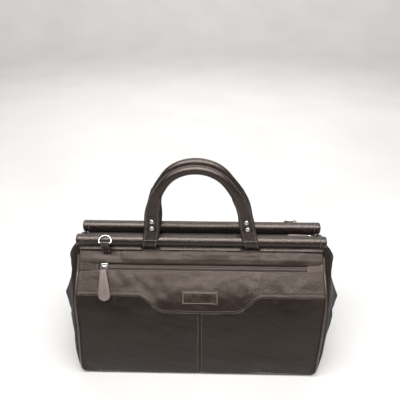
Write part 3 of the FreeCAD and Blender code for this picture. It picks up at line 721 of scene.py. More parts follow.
for end in ("left", "right"):
    for face in ("front", "back"):
        low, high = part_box(f"foot_{face}_{end}")
        radius, height = (high[0] - low[0]) / 2, high[2] - low[2]
        outline = [(radius * wide, height * rise) for wide, rise in STUD_OUTLINE]
        centre = ((low[0] + high[0]) / 2, (low[1] + high[1]) / 2, low[2])
        stud = lathe(f"stud_{face}_{end}", outline + [(radius, height + 0.6 * MM)], centre, WORLD_UP,
                     NICKEL, "base")
        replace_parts(stud, f"foot_{face}_{end}")


# ================================================================ lining
# Woven cloth against the inside of the shell, seen when the mouth is open. It comes down the front,
# crosses over the board and goes up the back, stretched between its seams.


def woven(name, dark, light, pitch):
    """Plain-woven cloth: two sets of threads crossing, with a little unevenness."""
    material, shader, tree = principled(name, 0.85)
    place = object_place(tree)
    waves = [shader_node(tree, "ShaderNodeTexWave", {
        "Vector": place, "Scale": 0.314 / pitch, "Distortion": 0.4}, wave_type="BANDS",
        bands_direction=direction, wave_profile="SIN").outputs["Fac"] for direction in ("X", "Z")]
    weave = calculate(tree, "MAXIMUM", *waves)
    tree.links.new(colour_ramp(tree, weave, [(0.2, dark), (0.9, light)]), shader.inputs["Base Color"])
    add_bump(tree, shader, weave, 0.5)
    shader.inputs["Sheen Weight"].default_value = 0.15
    return material


LINING = woven("lining_cloth", (0.07, 0.052, 0.038), (0.14, 0.11, 0.085), 0.0006)


def lining():
    profile = []
    for up in np.linspace(147.0, 16.0, 40):
        profile.append((-(face_at(up * MM)[0] - 4.4 * MM), up * MM, (1, 0)))
    up_the_back = [(-y, z, (-1, 0)) for y, z, _ in reversed(profile)]
    floor_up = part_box("base_board")[1][2] + 0.5 * MM
    reach = profile[-1][0] + 4 * MM
    profile += [(float(y), floor_up, (0, 1)) for y in np.linspace(reach, -reach, 40)] + up_the_back
    rows = []
    for y, z, way in profile:
        normal = Vector((0, *way))
        rows.append([(Vector((x, y, z)) + normal * (0.6 * MM * wander((x, y * 2, z * 2), 26.0, 15)), normal)
                     for x in columns(-HALF + 5 * MM, HALF - 5 * MM, 7 * MM)])
    piece = thick_sheet("lining_cloth", rows, LINING, "base", 0.8 * MM)
    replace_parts(piece, "lining")


lining()


# ================================================================ rolls
# Leather wrapped and sewn round a steel rod along each side of the mouth, with a soft filling. The last
# centimetre is a separate cap, pleated in at its end and sewn round.

ROLL_Y, ROLL_Z = abs(middle("front_roll_cover").y), middle("front_roll_cover").z
ROLL_LOW, ROLL_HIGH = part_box("front_roll_cover")
ROLL_R, ROLL_HALF = (ROLL_HIGH[2] - ROLL_LOW[2]) / 2, ROLL_HIGH[0]
CAP = 9.5


def roll(face, side):
    stations = []
    near_end = [ROLL_HALF, ROLL_HALF - 0.6 * MM, ROLL_HALF - 1.8 * MM]
    even = np.linspace(-ROLL_HALF + 3.5 * MM, ROLL_HALF - 3.5 * MM, 190)
    for x in [-x for x in near_end] + list(even) + near_end[::-1]:
        to_end = (ROLL_HALF - abs(x)) / MM
        radius = ROLL_R - 0.25 * MM - 0.8 * MM * math.exp(-((to_end - CAP) / 0.8) ** 2)
        if to_end < 2.4:
            radius -= (1 - math.sqrt(max(0.0, 1 - (1 - to_end / 2.4) ** 2))) * 2.6 * MM
        if to_end < CAP:
            radius += 0.15 * MM
        stations.append((float(x), radius, 0.0))
    folded_in = [(0.72, -0.2), (0.45, 0.5), (0.2, 1.4)]
    ends = [(ROLL_HALF - dip * MM, (ROLL_R - 2.6 * MM) * share, 0.5 * MM * (1 - share))
            for share, dip in folded_in]
    stations = [(-x, reach, pleat) for x, reach, pleat in reversed(ends)] + stations + ends

    def place(ring, turn):
        x, reach, pleat = stations[ring]
        way_y, way_z = math.cos(turn), math.sin(turn)
        if pleat:
            x += math.copysign(pleat * math.cos(turn * 9), x)
        else:
            reach += 0.22 * MM * wander((x * 1.1, way_y * 0.008, way_z * 0.008), 34.0, 30 + side)
            reach += 0.09 * MM * wander((x * 5, way_y * 0.03, way_z * 0.03), 60.0, 31 + side)
        return x, side * ROLL_Y + way_y * reach, ROLL_Z + way_z * reach

    cover = new_piece(f"{face}_roll", long_skin(len(stations), 40, place), [DARK], f"{face}_jaw")
    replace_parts(cover, f"{face}_roll_cover")

    for x_sign, end in ENDS:
        centre = Vector((x_sign * (ROLL_HALF - (CAP + 2.4) * MM), side * ROLL_Y, ROLL_Z))
        ways = [Vector((0, math.cos(turn), math.sin(turn))) for turn in np.arange(60) * (math.tau / 60)]
        row = [(centre + way * (ROLL_R + 0.05 * MM), way) for way in ways + ways[:1]]
        stitches(f"{face}_cap_stitches_{end}", row, THREAD, f"{face}_jaw",
                 pitch=2.8 * MM, length=2.0 * MM)


STEEL = metal("steel", (0.5, 0.5, 0.5), 0.35)
for face, side in (("front", FRONT), ("back", BACK)):
    roll(face, side)
    recoat(f"{face}_roll_rod", STEEL)


# ================================================================ bands
# Below each roll its leather closes into a flat, doubled band, sewn on over the top panel's edge. It is
# cut low and pressed in where the handles' loops pass over it.

# The handle's half circle and flared legs, which say where the loops pass.
ARCH_R, ARCH_RISE, FLARE = 73.0 * MM, 64.0 * MM, math.radians(13.3)
BEND_X, BEND_Z = ARCH_R * math.cos(FLARE), ARCH_RISE + ARCH_R * math.sin(FLARE)
LOOP_FOOT_X = BEND_X + BEND_Z * math.tan(FLARE)
STRAP_HALF = 13.2 * MM
BAND_LOW, BAND_HIGH = 241.2, 248.4


def by_loop(x, clear, fade):
    """1 beside a handle loop, 0 away from it."""
    return 1 - ease(abs(abs(x) - LOOP_FOOT_X), STRAP_HALF + clear * MM, STRAP_HALF + fade * MM)


def band(face, side):
    def spot(t, x):
        near = by_loop(x, 0.6, 3.4)
        up = BAND_LOW + (BAND_HIGH - 4.8 * near - BAND_LOW) * t
        out, normal = face_at(min(up, 245.0) * MM)
        lift = 3.2 * MM + 1.4 * MM * (1 - t) - 3.4 * MM * near
        lift += 0.3 * MM * wander((x * 2, 0, t * 0.02), 40.0, 44)
        point = Vector((x, side * (out + normal[0] * lift), up * MM + normal[1] * lift - 1.2 * MM))
        return point, Vector((0, side * normal[0], normal[1]))

    rows = [[spot(float(t), x) for x in columns(-HALF, HALF, 2.6 * MM)] for t in np.linspace(0, 1, 10)]
    strip = thick_sheet(f"{face}_band_leather", rows, DARK, f"{face}_jaw", 1.5 * MM, rim=0.5)
    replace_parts(strip, f"{face}_band")
    stitches(f"{face}_band_stitches", rows[3], THREAD, f"{face}_jaw")


band("front", FRONT)
band("back", BACK)


# ================================================================ handles
# Each handle is leather sewn round a cord along its inner side. The ends flatten between doubled straps
# that pass round the roll, stitched along both edges and closed by two domed rivets.

HANDLE_LEAN = {"front": -4.6, "back": 2.5}
GRIP_R = 8.0 * MM


def strap_x(up):
    """Distance of the strap's middle from the bag's centre at a height above the roll's axis."""
    return LOOP_FOOT_X - up * math.tan(FLARE)


def strap_half(up):
    """Half width of the strap at a height above the roll's axis."""
    return 13.0 * MM + (10.6 * MM - 13.0 * MM) * ease(up, 30 * MM, 84 * MM)


def handle_frame(face, side):
    """How a handle leans at rest, and a function that places its points on the bag.

    The soft handle slumps: its legs bow outwards, and the arch leans to the left.
    """
    turn = Matrix.Rotation(math.radians(HANDLE_LEAN[face]), 3, "X")
    centre = Vector((0, side * ROLL_Y, ROLL_Z))

    def hung(place):
        up = place.z / MM
        bow = 4.0 * math.exp(-((up - 58) / 24) ** 2) - 2.2 * math.exp(-((up - 104) / 16) ** 2)
        bow *= max(-1.0, min(1.0, place.x / (40 * MM)))
        slump = Vector(((bow - 9.0 * ease(up, -20, 130)) * MM, 0, 0))
        return turn @ (place + slump) + centre

    return turn, hung


def grip(face, side):
    turn, hung = handle_frame(face, side)
    leg = [up * MM for up in np.linspace(50.0, BEND_Z / MM, 16)[:-1]]
    line = [Vector((strap_x(up), 0, up)) for up in leg]
    for k in range(61):
        angle = FLARE + (math.pi - 2 * FLARE) * k / 60
        line.append(Vector((ARCH_R * math.cos(angle), 0, ARCH_RISE + ARCH_R * math.sin(angle))))
    line += [Vector((-strap_x(up), 0, up)) for up in reversed(leg)]
    total = len(line) - 1

    def reach(share):
        spot = line[round(share * total)]
        flat = 1 - ease(spot.z, 62 * MM, 112 * MM)
        ripple = 0.18 * MM * math.sin(share * 260) * (1 - flat) * abs(math.sin(share * 11))
        wide = GRIP_R * (1 - flat) + (strap_half(spot.z) + 0.3 * MM) * flat + ripple
        return wide, GRIP_R * (1 - flat) + 3.6 * MM * flat + ripple

    side_way = turn @ Vector((0, 1, 0))
    cover = tube(f"{face}_grip", [hung(p) for p in line], DARK, f"{face}_handle", reach, side=side_way,
                 segments=28)
    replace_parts(cover, f"{face}_handle_grip")

    row, runs = [], directions(line)
    for i in range(4, len(line) - 4):
        inward = runs[i].cross(Vector((0, 1, 0))).normalized()
        if inward.dot(Vector((0, 0, ARCH_RISE)) - line[i]) < 0:
            inward = -inward
        row.append((hung(line[i] + inward * (reach(i / total)[0] + 0.05 * MM)), turn @ inward))
    stitches(f"{face}_grip_stitches", row, THREAD, f"{face}_handle", pitch=3.4 * MM)


def loop_strap(face, side, x_sign, end):
    """One strap: up the front, round the roll and up the back, two layers closed at the rivets."""
    turn, hung = handle_frame(face, side)
    inner_r = ROLL_R + 0.45 * MM
    leave = math.radians(38)
    leave_y, leave_z = inner_r * math.cos(leave), inner_r * math.sin(leave)
    joined = 25.0 * MM

    def gap(up):
        return 0.25 * MM + (leave_y + 0.4 * MM) * (1 - ease(up, leave_z - 5 * MM, joined + 4 * MM))

    heights = (84.0, 77.0, 70.0, 62.0, 54.0, 48.0, 42.0, 36.0, 31.0, 25.0, 21.0, 17.5)
    path = [(gap(up * MM), up * MM) for up in heights]
    for k in range(25):
        angle = leave + (-math.pi / 2 - leave) * k / 24
        path.append((inner_r * math.cos(angle), inner_r * math.sin(angle)))
    path += [(-y, z) for y, z in reversed(path[:-1])]
    full = [(v.y, v.z) for v in smooth_path([(0, y, z) for y, z in path], 2)]
    rows = []
    across = 11
    for i, (y, z) in enumerate(full):
        before, after = full[max(i - 1, 0)], full[min(i + 1, len(full) - 1)]
        run = Vector((0, after[0] - before[0], after[1] - before[1])).normalized()
        normal = Vector((0, -run.z, run.y))
        if normal.y * y < 0 and abs(y) > 1e-5 or (abs(y) <= 1e-5 and normal.z > 0):
            normal = -normal
        thin = 1 + 0.55 * ease(z, 46 * MM, 70 * MM) - 0.35 * ease(z, 76 * MM, 84 * MM)
        row = []
        for t in np.linspace(-1, 1, across):
            x = x_sign * strap_x(max(z, 0.0) if z > -2 * MM else z) + t * strap_half(z)
            crown = 2.5 * MM - 0.7 * MM * abs(t) ** 6
            row.append((hung(Vector((x, y, z)) + normal * (crown * thin)), turn @ normal))
        rows.append(row)
    strap = thick_sheet(f"{face}_strap_{end}", rows, DARK, f"{face}_handle", 2.3 * MM, rim=0.4)
    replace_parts(strap, f"{face}_handle_loop_{end}")
    for number, column in enumerate((1, across - 2)):
        row = [(line[column][0] + line[column][1] * 0.05 * MM, line[column][1]) for line in rows]
        stitches(f"{face}_strap_{end}_stitches_{number}", row, THREAD, f"{face}_handle")


def join(name, parts, rides):
    """Several mesh pieces made into one object."""
    work, materials = bmesh.new(), []
    for part in parts:
        material = part.data.materials[0]
        if material not in materials:
            materials.append(material)
        for polygon in part.data.polygons:
            polygon.material_index = materials.index(material)
        work.from_mesh(part.data)
        bpy.data.objects.remove(part)
    return new_piece(name, work, materials, rides)


def rivets(face, side):
    """Domed nickel heads on both faces of each strap."""
    turn, hung = handle_frame(face, side)
    dome = [(4.3, 0.0), (4.3, 0.5), (3.999, 1.05), (3.225, 1.7), (2.15, 2.15), (1.075, 2.35), (0.0, 2.4)]
    outline = [(radius * MM, rise * MM) for radius, rise in dome]
    heads = []
    for x_sign in (-1.0, 1.0):
        for height in (25.5 * MM, 39 * MM):
            for way in (-1.0, 1.0):
                place = hung(Vector((x_sign * strap_x(height), way * 2.7 * MM, height)))
                heads.append(lathe("head", outline, place, turn @ Vector((0, way, 0)), NICKEL, None, 28))
    piece = join(f"{face}_rivets", heads, f"{face}_handle")
    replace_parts(piece, f"{face}_handle_rivets")


for face, side in (("front", FRONT), ("back", BACK)):
    grip(face, side)
    rivets(face, side)
    for x_sign, end in ENDS:
        loop_strap(face, side, x_sign, end)


# ================================================================ pocket zip
# A brown zip lies in the slot between yoke and top panel: woven tape, two rows of nylon coil sewn to
# its edges, and a leather tab stitched over each end.

SLOPE = math.radians(50.7)
UP_SLOPE = Vector((0, math.cos(SLOPE), math.sin(SLOPE)))
OFF_SLOPE = Vector((0, -math.sin(SLOPE), math.cos(SLOPE)))
ZIP_CENTRE = Vector((0, -46.5 * MM, 216.0 * MM))
ZIP_HALF = 203 * MM
TAPE = woven("zip_tape", (0.012, 0.0075, 0.006), (0.030, 0.020, 0.017), 0.0007)
TEETH = plain_noise("zip_teeth", (0.060, 0.041, 0.034), (0.13, 0.094, 0.081), 0.36, 900.0)
TAB = leather("tab_leather", (0.022, 0.016, 0.0135), (0.055, 0.042, 0.036), (0.10, 0.08, 0.07),
              rough=0.34, specular=0.5)


def zip_spot(x, along, above):
    """A point of the sloping pocket zip: along goes up the slope, and above stands off it."""
    return Vector((x, 0, 0)) + ZIP_CENTRE + UP_SLOPE * along + OFF_SLOPE * above


def pocket_tape():
    rows = [[(zip_spot(x, along * MM, -1.2 * MM + 0.25 * MM * wander((x, 0, 0), 30.0, 50)), OFF_SLOPE)
             for x in columns(-ZIP_HALF, ZIP_HALF, 4 * MM)] for along in np.linspace(-8.0, 8.0, 15)]
    piece = thick_sheet("pocket_tape", rows, TAPE, "front_jaw", 0.7 * MM)
    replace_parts(piece, "pocket_zip_tape")


def coil(name, low_x, high_x, centre, across, up, rides, half, pitch):
    """One side of a zip's teeth: a nylon coil wound along the edge of its tape."""
    line = []
    for k in range(int((high_x - low_x) / pitch) * 8 + 1):
        turn = math.tau * k / 8
        spot = Vector((low_x + pitch * k / 8, 0, 0)) + centre
        line.append(spot + across * (math.cos(turn) * half) + up * (math.sin(turn) * 0.6 * MM))
    return tube(name, line, TEETH, rides, 0.5 * MM, side=across, segments=6)


def pocket_teeth():
    sides = [coil("coil", -ZIP_HALF, ZIP_HALF, zip_spot(0, way * 1.7 * MM, 0.3 * MM), UP_SLOPE * way,
                  OFF_SLOPE, None, 1.5 * MM, 3.0 * MM) for way in (-1, 1)]
    piece = join("pocket_coil", sides, "front_jaw")
    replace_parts(piece, "pocket_zip_teeth")


def inset_ring(rows, inset=2):
    """The places that run round a sheet, two rows and columns in from its edge."""
    top, right = len(rows) - 1 - inset, len(rows[0]) - 1 - inset
    return (rows[inset][inset:right + 1] + [row[right] for row in rows[inset:top + 1]]
            + rows[top][inset:right + 1][::-1] + [row[inset] for row in rows[inset:top + 1][::-1]])


def end_tab(end, material):
    low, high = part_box(f"pocket_end_tab_{end}")
    half = 8.4 * MM

    def spot(along, x):
        inner_end = (high[0] - x) if end == "left" else (x - low[0])
        tuck = 1.2 * MM * (1 - ease(inner_end, 0, 5 * MM))
        edge = 0.5 * MM * (abs(along) / half) ** 8
        rise = 2.7 * MM - tuck * 0.5 - edge + 0.4 * MM * wander((x, 0, along), 60.0, 61)
        return zip_spot(x, along * (1 - 0.12 * (1 - ease(inner_end, 0, 3 * MM))), rise), OFF_SLOPE

    rows = [[spot(float(along), float(x)) for x in np.linspace(low[0] + 0.4 * MM, high[0] - 0.4 * MM, 17)]
            for along in np.linspace(-half, half, 13)]
    piece = thick_sheet(f"pocket_tab_{end}", rows, material, "front_jaw", 1.8 * MM, rim=0.5)
    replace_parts(piece, f"pocket_end_tab_{end}")
    stitches(f"pocket_tab_{end}_stitches", inset_ring(rows), THREAD, "front_jaw",
             pitch=2.6 * MM, length=1.9 * MM)


pocket_tape()
pocket_teeth()
end_tab("left", BAG)
end_tab("right", TAB)


# ================================================================ pocket bag
# A flat bag behind the yoke, cut from the same cloth as the lining. It is sewn to the pocket zip's tape
# along its top and left hanging.


def pocket_bag():
    low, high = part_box("pocket_bag")

    def spot(up, x):
        out, normal = face_at(up)
        depth = 4.0 * MM + 0.5 * MM * wander((x, 0, up), 24.0, 70)
        return (Vector((x, -(out - normal[0] * depth), up - normal[1] * depth)),
                Vector((0, -normal[0], normal[1])))

    rows = [[spot(float(up) * MM, x) for x in columns(low[0] + 1 * MM, high[0] - 1 * MM, 6 * MM)]
            for up in np.linspace(157.0, 201.0, 18)]
    piece = thick_sheet("pocket_bag_cloth", rows, LINING, FRONT, 1.0 * MM)
    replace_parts(piece, "pocket_bag")


pocket_bag()


# ================================================================ pocket slider and pull
# A cast and plated slider, with an arched bridge that holds a wire link. The long pull is two layers of
# pale leather glued over a raw tan core, sewn round its edge, and it hangs a little askew.

X_WAY = Vector((1, 0, 0))
PULL_PIN = Vector((middle("pocket_slider").x, 0, 0)) + ZIP_CENTRE + OFF_SLOPE * (5.6 * MM)
PULL = leather("pull_leather", (0.060, 0.048, 0.043), (0.112, 0.092, 0.083), (0.20, 0.155, 0.125),
               rough=0.45, specular=0.5)
RAW_EDGE = plain_noise("raw_leather_edge", (0.16, 0.10, 0.058), (0.30, 0.20, 0.12), 0.75, 700.0, bump=0.4)
PALE_THREAD = plain_noise("pale_thread", (0.10, 0.075, 0.06), (0.20, 0.155, 0.125), 0.6, 2500.0)


def plate(place, along, across, up, length, width_nose, width_tail, low, high):
    """A slider's plate: narrower at one end, with rounded corners and rim."""
    work = bmesh.new()
    bmesh.ops.create_cube(work, size=1.0)
    for vert in work.verts:
        width = width_nose if vert.co.x > 0 else width_tail
        rise = low + (high - low) * (vert.co.z + 0.5)
        vert.co = place + along * (vert.co.x * length) + across * (vert.co.y * width) + up * rise

    def rounded(lowest, highest, offset, segments):
        picked = [edge for edge in work.edges if lowest
                  < abs((edge.verts[0].co - edge.verts[1].co).normalized().dot(up)) < highest]
        bmesh.ops.bevel(work, geom=picked, offset=offset, segments=segments, profile=0.5, affect="EDGES",
                        material=-1)

    rounded(0.9, 2.0, length * 0.26, 5)
    rounded(-1.0, 0.1, (high - low) * 0.3, 3)
    return new_piece("plate", work, [NICKEL])


def slider(name, cad_node, place, along, across, up, upper_low, scale=1.0):
    """A bright slider: a plate with two wings, and an arched bridge that holds the pull."""
    length = 14.0 * MM * scale
    parts = [plate(place, along, across, up, length, 9.2 * MM * scale, 11.4 * MM * scale,
                   upper_low, upper_low + 2.2 * MM)]
    for way in (-1, 1):
        wing = [place + along * (t * length * 0.40) + across * (way * (5.2 + 0.4 * t) * MM * scale)
                + up * (upper_low - 0.2 * MM) for t in np.linspace(-1, 1, 9)]
        parts.append(tube("wing", wing, NICKEL, None, 0.7 * MM, side=up, segments=8))
    bridge = [place + along * (math.cos(turn) * length * 0.36)
              + up * (upper_low + 1.4 * MM + math.sin(turn) ** 0.6 * 3.6 * MM)
              for turn in [math.pi * k / 16 for k in range(17)]]
    parts.append(tube("bridge", bridge, NICKEL, None, lambda share: (1.9 * MM * scale, 0.62 * MM),
                      side=across.cross(along)))
    piece = join(name, parts, cad_node)
    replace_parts(piece, cad_node)


def pull_link(name, cad_node, pin, down, width, body, normal):
    """A wire link: a narrow ring round the slider's bridge, closed below in the leather."""
    side = down.cross(normal).normalized()
    half, reach = width / 2, 7.5 * MM
    turns = [math.pi * k / 11 for k in range(12)]
    line = [pin + side * (math.cos(turn) * half * 0.8) - down * (math.sin(turn) * 1.4 * MM) for turn in turns]
    line += [pin - side * (math.cos(turn) * half) + down * (reach + math.sin(turn) * 1.0 * MM)
             for turn in turns]
    ring = tube(name, line, NICKEL, body, 0.8 * MM, side=normal, segments=10, closed=True)
    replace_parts(ring, cad_node)


def leather_pull(name, cad_node, spine, side, body, width_top, width_bottom, thick, askew=0.0):
    """A doubled leather pull with a rounded end, a raw edge, edge stitching and a pressed centre line.

    spine is a list of (middle point, outward normal) from its top to its tip. askew swings it sideways.
    """
    across = 15
    spine = [(spot + side * ((spot - spine[0][0]).length * math.sin(askew)), normal)
             for spot, normal in spine]
    reached = walked([spot for spot, _ in spine])
    rows = []
    for (spot, normal), gone in zip(spine, reached):
        share, left = gone / reached[-1], reached[-1] - gone
        half = (width_top + (width_bottom - width_top) * ease(share, -0.15, 0.95)) / 2
        if left < half * 0.9:
            half *= math.sqrt(max(0.03, 1 - (1 - left / (half * 0.9)) ** 2))
        if gone < 2.5 * MM:
            half *= 0.8 + 0.2 * gone / (2.5 * MM)
        row = []
        for t in np.linspace(-1, 1, across):
            crown = -0.4 * MM * abs(t) ** 5 + 0.12 * MM * wander((t, share, 0), 3.0, 80)
            pressed = ease(share, 0.1, 0.16) * (1 - ease(share, 0.8, 0.88))
            crown -= 0.35 * MM * math.exp(-(t / 0.07) ** 2) * pressed
            row.append((spot + side * (t * half) + normal * crown, normal))
        rows.append(row)
    layer = thick * 0.47
    under_rows = [[(p - n * (thick * 0.53), n) for p, n in row] for row in rows]
    core_rows = [[(p.lerp(row[across // 2][0], 0.02) - n * (layer * 0.7), n) for p, n in row] for row in rows]
    piece = join(name, [thick_sheet("upper_layer", rows, PULL, None, layer, rim=0.3),
                        thick_sheet("lower_layer", under_rows, PULL, None, layer, rim=0.3),
                        thick_sheet("raw_edge", core_rows, RAW_EDGE, None, thick * 0.45, rim=0.2)], body)
    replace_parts(piece, cad_node)
    for number, column in enumerate((2, across - 3)):
        stitches(f"{name}_stitches_{number}", [row[column] for row in rows[2:-3]], PALE_THREAD, body,
                 pitch=2.7 * MM, length=2.0 * MM, thick=0.34 * MM)


def pocket_pull():
    hang = math.radians(49.0)
    down = Vector((0, -math.cos(hang), -math.sin(hang)))
    off = Vector((0, -math.sin(hang), math.cos(hang)))
    pull_link("pocket_pull_ring", "pocket_pull_link", PULL_PIN + down * 0.6 * MM, down, 7.0 * MM,
              "pocket_pull", off)
    spine = []
    for reach in np.linspace(6.5, 60.5, 46):
        droop = 0.5 * MM * ease(reach, 34.0, 60.0) ** 1.3
        arch = 1.2 * MM * math.sin(math.pi * min(1.0, reach / 50.0))
        spine.append((PULL_PIN + down * (reach * MM) + off * (3.4 * MM + arch - droop), off))
    leather_pull("pocket_pull_tongue", "pocket_pull_leather", spine, X_WAY, "pocket_pull", 10.0 * MM,
                 20.5 * MM, 3.4 * MM, askew=math.radians(5.5))


slider("pocket_slider_metal", "pocket_slider", zip_spot(middle("pocket_slider").x, 0, 0), -X_WAY,
       UP_SLOPE, OFF_SLOPE, 1.1 * MM)
pocket_pull()


# ================================================================ name patch
# A small leather patch on the yoke, left blank, with skived edges and a border of pale stitches that
# press into it.


def name_patch():
    low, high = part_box("name_patch")
    low_up, high_up = 167.5 * MM, 186.8 * MM

    def spot(up, x):
        edge = max(abs(x) / high[0], abs(up - (low_up + high_up) / 2) / ((high_up - low_up) / 2))
        lift = 2.6 * MM - 0.5 * MM * edge ** 14 - 0.35 * MM * math.exp(-((edge - 0.86) / 0.04) ** 2)
        return face_point(FRONT, x, up, lift)

    rows = [[spot(float(up), float(x)) for x in np.linspace(low[0], high[0], 45)]
            for up in np.linspace(low_up, high_up, 17)]
    piece = thick_sheet("patch_leather", rows, BAG, FRONT, 1.5 * MM, rim=0.4)
    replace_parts(piece, "name_patch")
    stitches("patch_stitches", inset_ring(rows), PALE_THREAD, FRONT, pitch=2.4 * MM,
             length=2.0 * MM, thick=0.5 * MM)


name_patch()


# ================================================================ D-rings
# Nickel wire rings that lean on the rolls, one at front left and one at back right, for a shoulder
# strap. Each hangs in a leather tab that comes up from under the roll and is sewn down its edges.

RING_OUT, RING_UP = 37 * MM, 261 * MM
WIRE = 1.4 * MM


def d_ring(face, side):
    low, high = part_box(f"{face}_d_ring")
    half = (high[0] - low[0]) / 2 - WIRE
    bar = Vector(((low[0] + high[0]) / 2, side * RING_OUT, RING_UP))
    lean = Vector((0, -side * math.sin(math.radians(45)), math.cos(math.radians(45))))
    corner, depth = 2.4 * MM, 13.4 * MM
    rise = max(depth - half, corner)

    def at(across, along):
        return bar + X_WAY * across + lean * along

    bends = [(half - corner + math.sin(turn) * corner, corner - math.cos(turn) * corner)
             for turn in [math.pi / 2 * k / 6 for k in range(1, 7)]]
    line = [at(x, 0) for x in np.linspace(-half + corner, half - corner, 9)]
    line += [at(x, along) for x, along in bends]
    for k in range(1, 32):
        turn = math.pi * k / 32
        line.append(at(math.cos(turn) * half, rise + math.sin(turn) * (depth - rise)))
    line += [at(-x, along) for x, along in reversed(bends)]
    ring = tube(f"{face}_ring_wire", line, NICKEL, f"{face}_ring", WIRE, side=X_WAY.cross(lean),
                segments=14, closed=True)
    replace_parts(ring, f"{face}_d_ring")


def d_tab(face, side):
    centre_x = middle(f"{face}_d_ring").x
    clear = WIRE + 0.25 * MM
    foot_out, foot_up = 34.8 * MM, 237.0 * MM
    path = [(foot_out + (RING_OUT + clear - foot_out) * ease(t, 0, 1), foot_up + (RING_UP - foot_up) * t)
            for t in np.linspace(0, 1, 9)]
    path += [(RING_OUT + math.cos(turn) * clear, RING_UP + math.sin(turn) * clear)
             for turn in [math.pi * k / 12 for k in range(1, 13)]]
    path += [(RING_OUT - clear - 0.1 * MM * t, RING_UP - 9 * MM * t) for t in np.linspace(0.25, 1, 4)]
    rows = []
    for i, (out, up) in enumerate(path):
        before, after = path[max(i - 1, 0)], path[min(i + 1, len(path) - 1)]
        run = Vector((0, side * (after[0] - before[0]), after[1] - before[1])).normalized()
        normal = Vector((0, run.z, -run.y)) * side
        rows.append([(Vector((centre_x + t * 7.4 * MM, side * out, up))
                      + normal * (1.2 * MM - 0.3 * MM * abs(t) ** 6), normal) for t in np.linspace(-1, 1, 9)])
    tab = thick_sheet(f"{face}_ring_tab", rows, DARK, f"{face}_jaw", 1.1 * MM, rim=0.4)
    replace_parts(tab, f"{face}_d_tab")
    for number, column in enumerate((1, 7)):
        stitches(f"{face}_ring_tab_stitches_{number}", [row[column] for row in rows[:9]], THREAD,
                 f"{face}_jaw", pitch=2.6 * MM, length=1.9 * MM)


for face, side in (("front", FRONT), ("back", BACK)):
    d_ring(face, side)
    d_tab(face, side)


# ================================================================ closing zip
# Woven tapes sewn under both rolls meet in two rows of nylon coil. They are notched beside the handle
# loops and sag a little between them.

TAPE_LOW, TAPE_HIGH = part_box("top_zip_tape_front")
TAPE_TOP = TAPE_HIGH[2]
Y_WAY = Vector((0, 1, 0))
for face, side in (("front", FRONT), ("back", BACK)):
    rows = []
    for y in np.linspace(0.8, 21.0, 12):
        row = []
        for x in columns(TAPE_LOW[0], TAPE_HIGH[0], 4 * MM):
            sag = 0.6 * MM * wander((x, 0, 0), 22.0, 90 + side) * (y / 21) * (1 - y / 21) * 4
            out = side * float(y) * (1 - 0.38 * by_loop(x, 1, 6)) * MM
            row.append((Vector((x, out, TAPE_TOP + sag - 0.2 * MM)), WORLD_UP))
        rows.append(row)
    piece = thick_sheet(f"closing_tape_{face}", rows, TAPE, f"{face}_jaw", 0.8 * MM)
    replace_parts(piece, f"top_zip_tape_{face}")
    teeth = coil(f"closing_teeth_{face}", TAPE_LOW[0] + 1 * MM, TAPE_HIGH[0] - 1 * MM,
                 Vector((0, side * 1.3 * MM, TAPE_TOP + 0.4 * MM)), Y_WAY * side, WORLD_UP, f"{face}_jaw",
                 1.1 * MM, 2.4 * MM)


# ================================================================ closing zip's end tabs
# A rounded tab of smooth leather over each end of the zip, sewn down round its edge. It droops over the
# top of the gusset and covers the ends of the tapes.


def closing_tab(end, x_sign):
    low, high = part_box(f"top_zip_end_{end}")
    inner, outer = sorted((abs(low[0]), abs(high[0])))

    def spot(t, s):
        x = x_sign * (inner + (outer - inner) * t)
        droop = 1.0 * MM * math.sin(math.pi * min(1.0, t * 1.15)) - 3.0 * MM * t ** 3
        half = 10.2 * MM * math.sqrt(max(0.08, 1 - max(0.0, (t - 0.6) / 0.4) ** 2 * 0.85))
        crown = 0.3 * MM * (1 - s * s) + 0.3 * MM * wander((x, s * 0.01, 0), 50.0, 95)
        return Vector((x, s * half, high[2] + crown + droop)), WORLD_UP

    rows = [[spot(i / 14, s) for s in np.linspace(-1, 1, 11)] for i in range(15)]
    piece = thick_sheet(f"closing_tab_{end}", rows, DARK, "base", 2.2 * MM, rim=0.5)
    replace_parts(piece, f"top_zip_end_{end}")
    edge = [row[1] for row in rows[1:-1]] + rows[-2][2:9] + [row[9] for row in reversed(rows[1:-1])]
    stitches(f"closing_tab_{end}_stitches", edge, THREAD, "base")


for x_sign, end in ENDS:
    closing_tab(end, x_sign)


# ================================================================ closing slider and pull
# A smaller slider of the same make, parked at the right end, with a short leather pull that lies along
# the zip.

slider("closing_slider", "top_slider", Vector((middle("top_slider").x, 0, TAPE_TOP)), X_WAY, Y_WAY,
       WORLD_UP, 2.2 * MM, scale=0.85)
pin = Vector((202.5 * MM, 0, TAPE_TOP + 8.0 * MM))
pull_link("closing_pull_ring", "top_pull_link", pin, -X_WAY, 5.5 * MM, "top_pull", WORLD_UP)
spine = [(pin - X_WAY * (reach * MM) + WORLD_UP * (0.9 * MM), WORLD_UP) for reach in np.linspace(7.0, 42.0, 30)]
leather_pull("closing_pull_tongue", "top_pull_leather", spine, Y_WAY, "top_pull", 9.0 * MM, 12.0 * MM,
             2.2 * MM)


# ================================================================ floor
# A pale, plain round floor whose rim curves up into a backdrop: one turned surface of matt board with
# faint clouding.

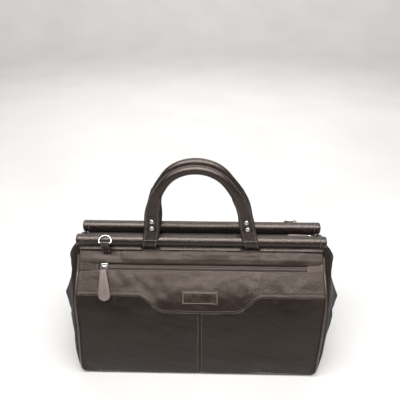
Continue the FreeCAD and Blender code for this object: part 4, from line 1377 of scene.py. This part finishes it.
BOWL = ((0.001, 0.0), (1.5, 0.0), (3.0, 0.0), (3.7, 0.12), (4.1, 0.5), (4.3, 1.2), (4.4, 3.2))
pale, shader, tree = principled("pale_floor", 0.55)
tones = colour_ramp(tree, clouds(tree, object_place(tree), 3.0, 3.0),
                    [(0.3, (0.385, 0.379, 0.372)), (0.7, (0.415, 0.41, 0.404))])
tree.links.new(tones, shader.inputs["Base Color"])
shader.inputs["Specular IOR Level"].default_value = 0.2
rim = [(p.x, p.z) for p in smooth_path([(r, 0, z) for r, z in BOWL], 6)]
lathe("backdrop", rim, (0, 0, 0), WORLD_UP, pale, None, segments=96)


# ================================================================ light
# Long soft boxes over and in front of the bag, and two behind it for the backdrop. The room is dim at
# eye level and brighter overhead, so upright leather stays dark and slopes catch the light.


def area_light(name, place, target, size, power):
    light = bpy.data.lights.new(name, "AREA")
    light.shape = "RECTANGLE"
    light.size, light.size_y = size
    light.energy = power
    lamp = bpy.data.objects.new(name, light)
    lamp.location = place
    lamp.rotation_euler = (Vector(target) - Vector(place)).to_track_quat("-Z", "Y").to_euler()
    bpy.context.scene.collection.objects.link(lamp)


area_light("overhead", (0.0, -0.32, 1.5), (0, -0.02, 0), (2.4, 0.34), 42.0)
area_light("front_high", (0.0, -1.05, 1.85), (0, 0.0, 0.15), (2.8, 0.6), 50.0)
area_light("behind", (0.0, 1.7, 1.7), (0, 0.4, 0.0), (3.0, 1.0), 16.0)
area_light("backdrop_wash", (0.0, 1.2, 2.6), (0, 4.2, 0.6), (3.0, 1.0), 150.0)

world = bpy.data.worlds.new("studio")
world.use_nodes = True
sky = world.node_tree
parts = shader_node(sky, "ShaderNodeSeparateXYZ", {
    "Vector": sky.nodes.new("ShaderNodeTexCoord").outputs["Generated"]})
shade = colour_ramp(sky, parts.outputs["Z"], [(0.0, (0.15, 0.148, 0.146)), (0.2, (0.20, 0.197, 0.194)),
                                              (0.62, (0.80, 0.795, 0.79)), (1.0, (1.0, 1.0, 1.0))])
sky.links.new(shade, sky.nodes["Background"].inputs["Color"])
sky.nodes["Background"].inputs["Strength"].default_value = 0.55
bpy.context.scene.world = world
bpy.context.scene.view_settings.view_transform = "Standard"


# ================================================================ camera
# It stands close in front of the bag and a little above it, turned slightly to one side and looking
# down.

CAMERA_DISTANCE, CAMERA_HEIGHT, CAMERA_SHIFT = 0.577, 0.667, -0.0018
CAMERA_PITCH, CAMERA_TURN = 30.3, math.radians(1.2)
camera = bpy.data.cameras.new("camera")
camera.sensor_width = 36.0
camera.lens = 34.2
view = bpy.data.objects.new("camera", camera)
view.location = (CAMERA_DISTANCE * math.sin(CAMERA_TURN) + CAMERA_SHIFT,
                 -CAMERA_DISTANCE * math.cos(CAMERA_TURN), CAMERA_HEIGHT)
view.rotation_euler = (math.radians(90 - CAMERA_PITCH), 0, CAMERA_TURN)
bpy.context.scene.collection.objects.link(view)
bpy.context.scene.camera = view
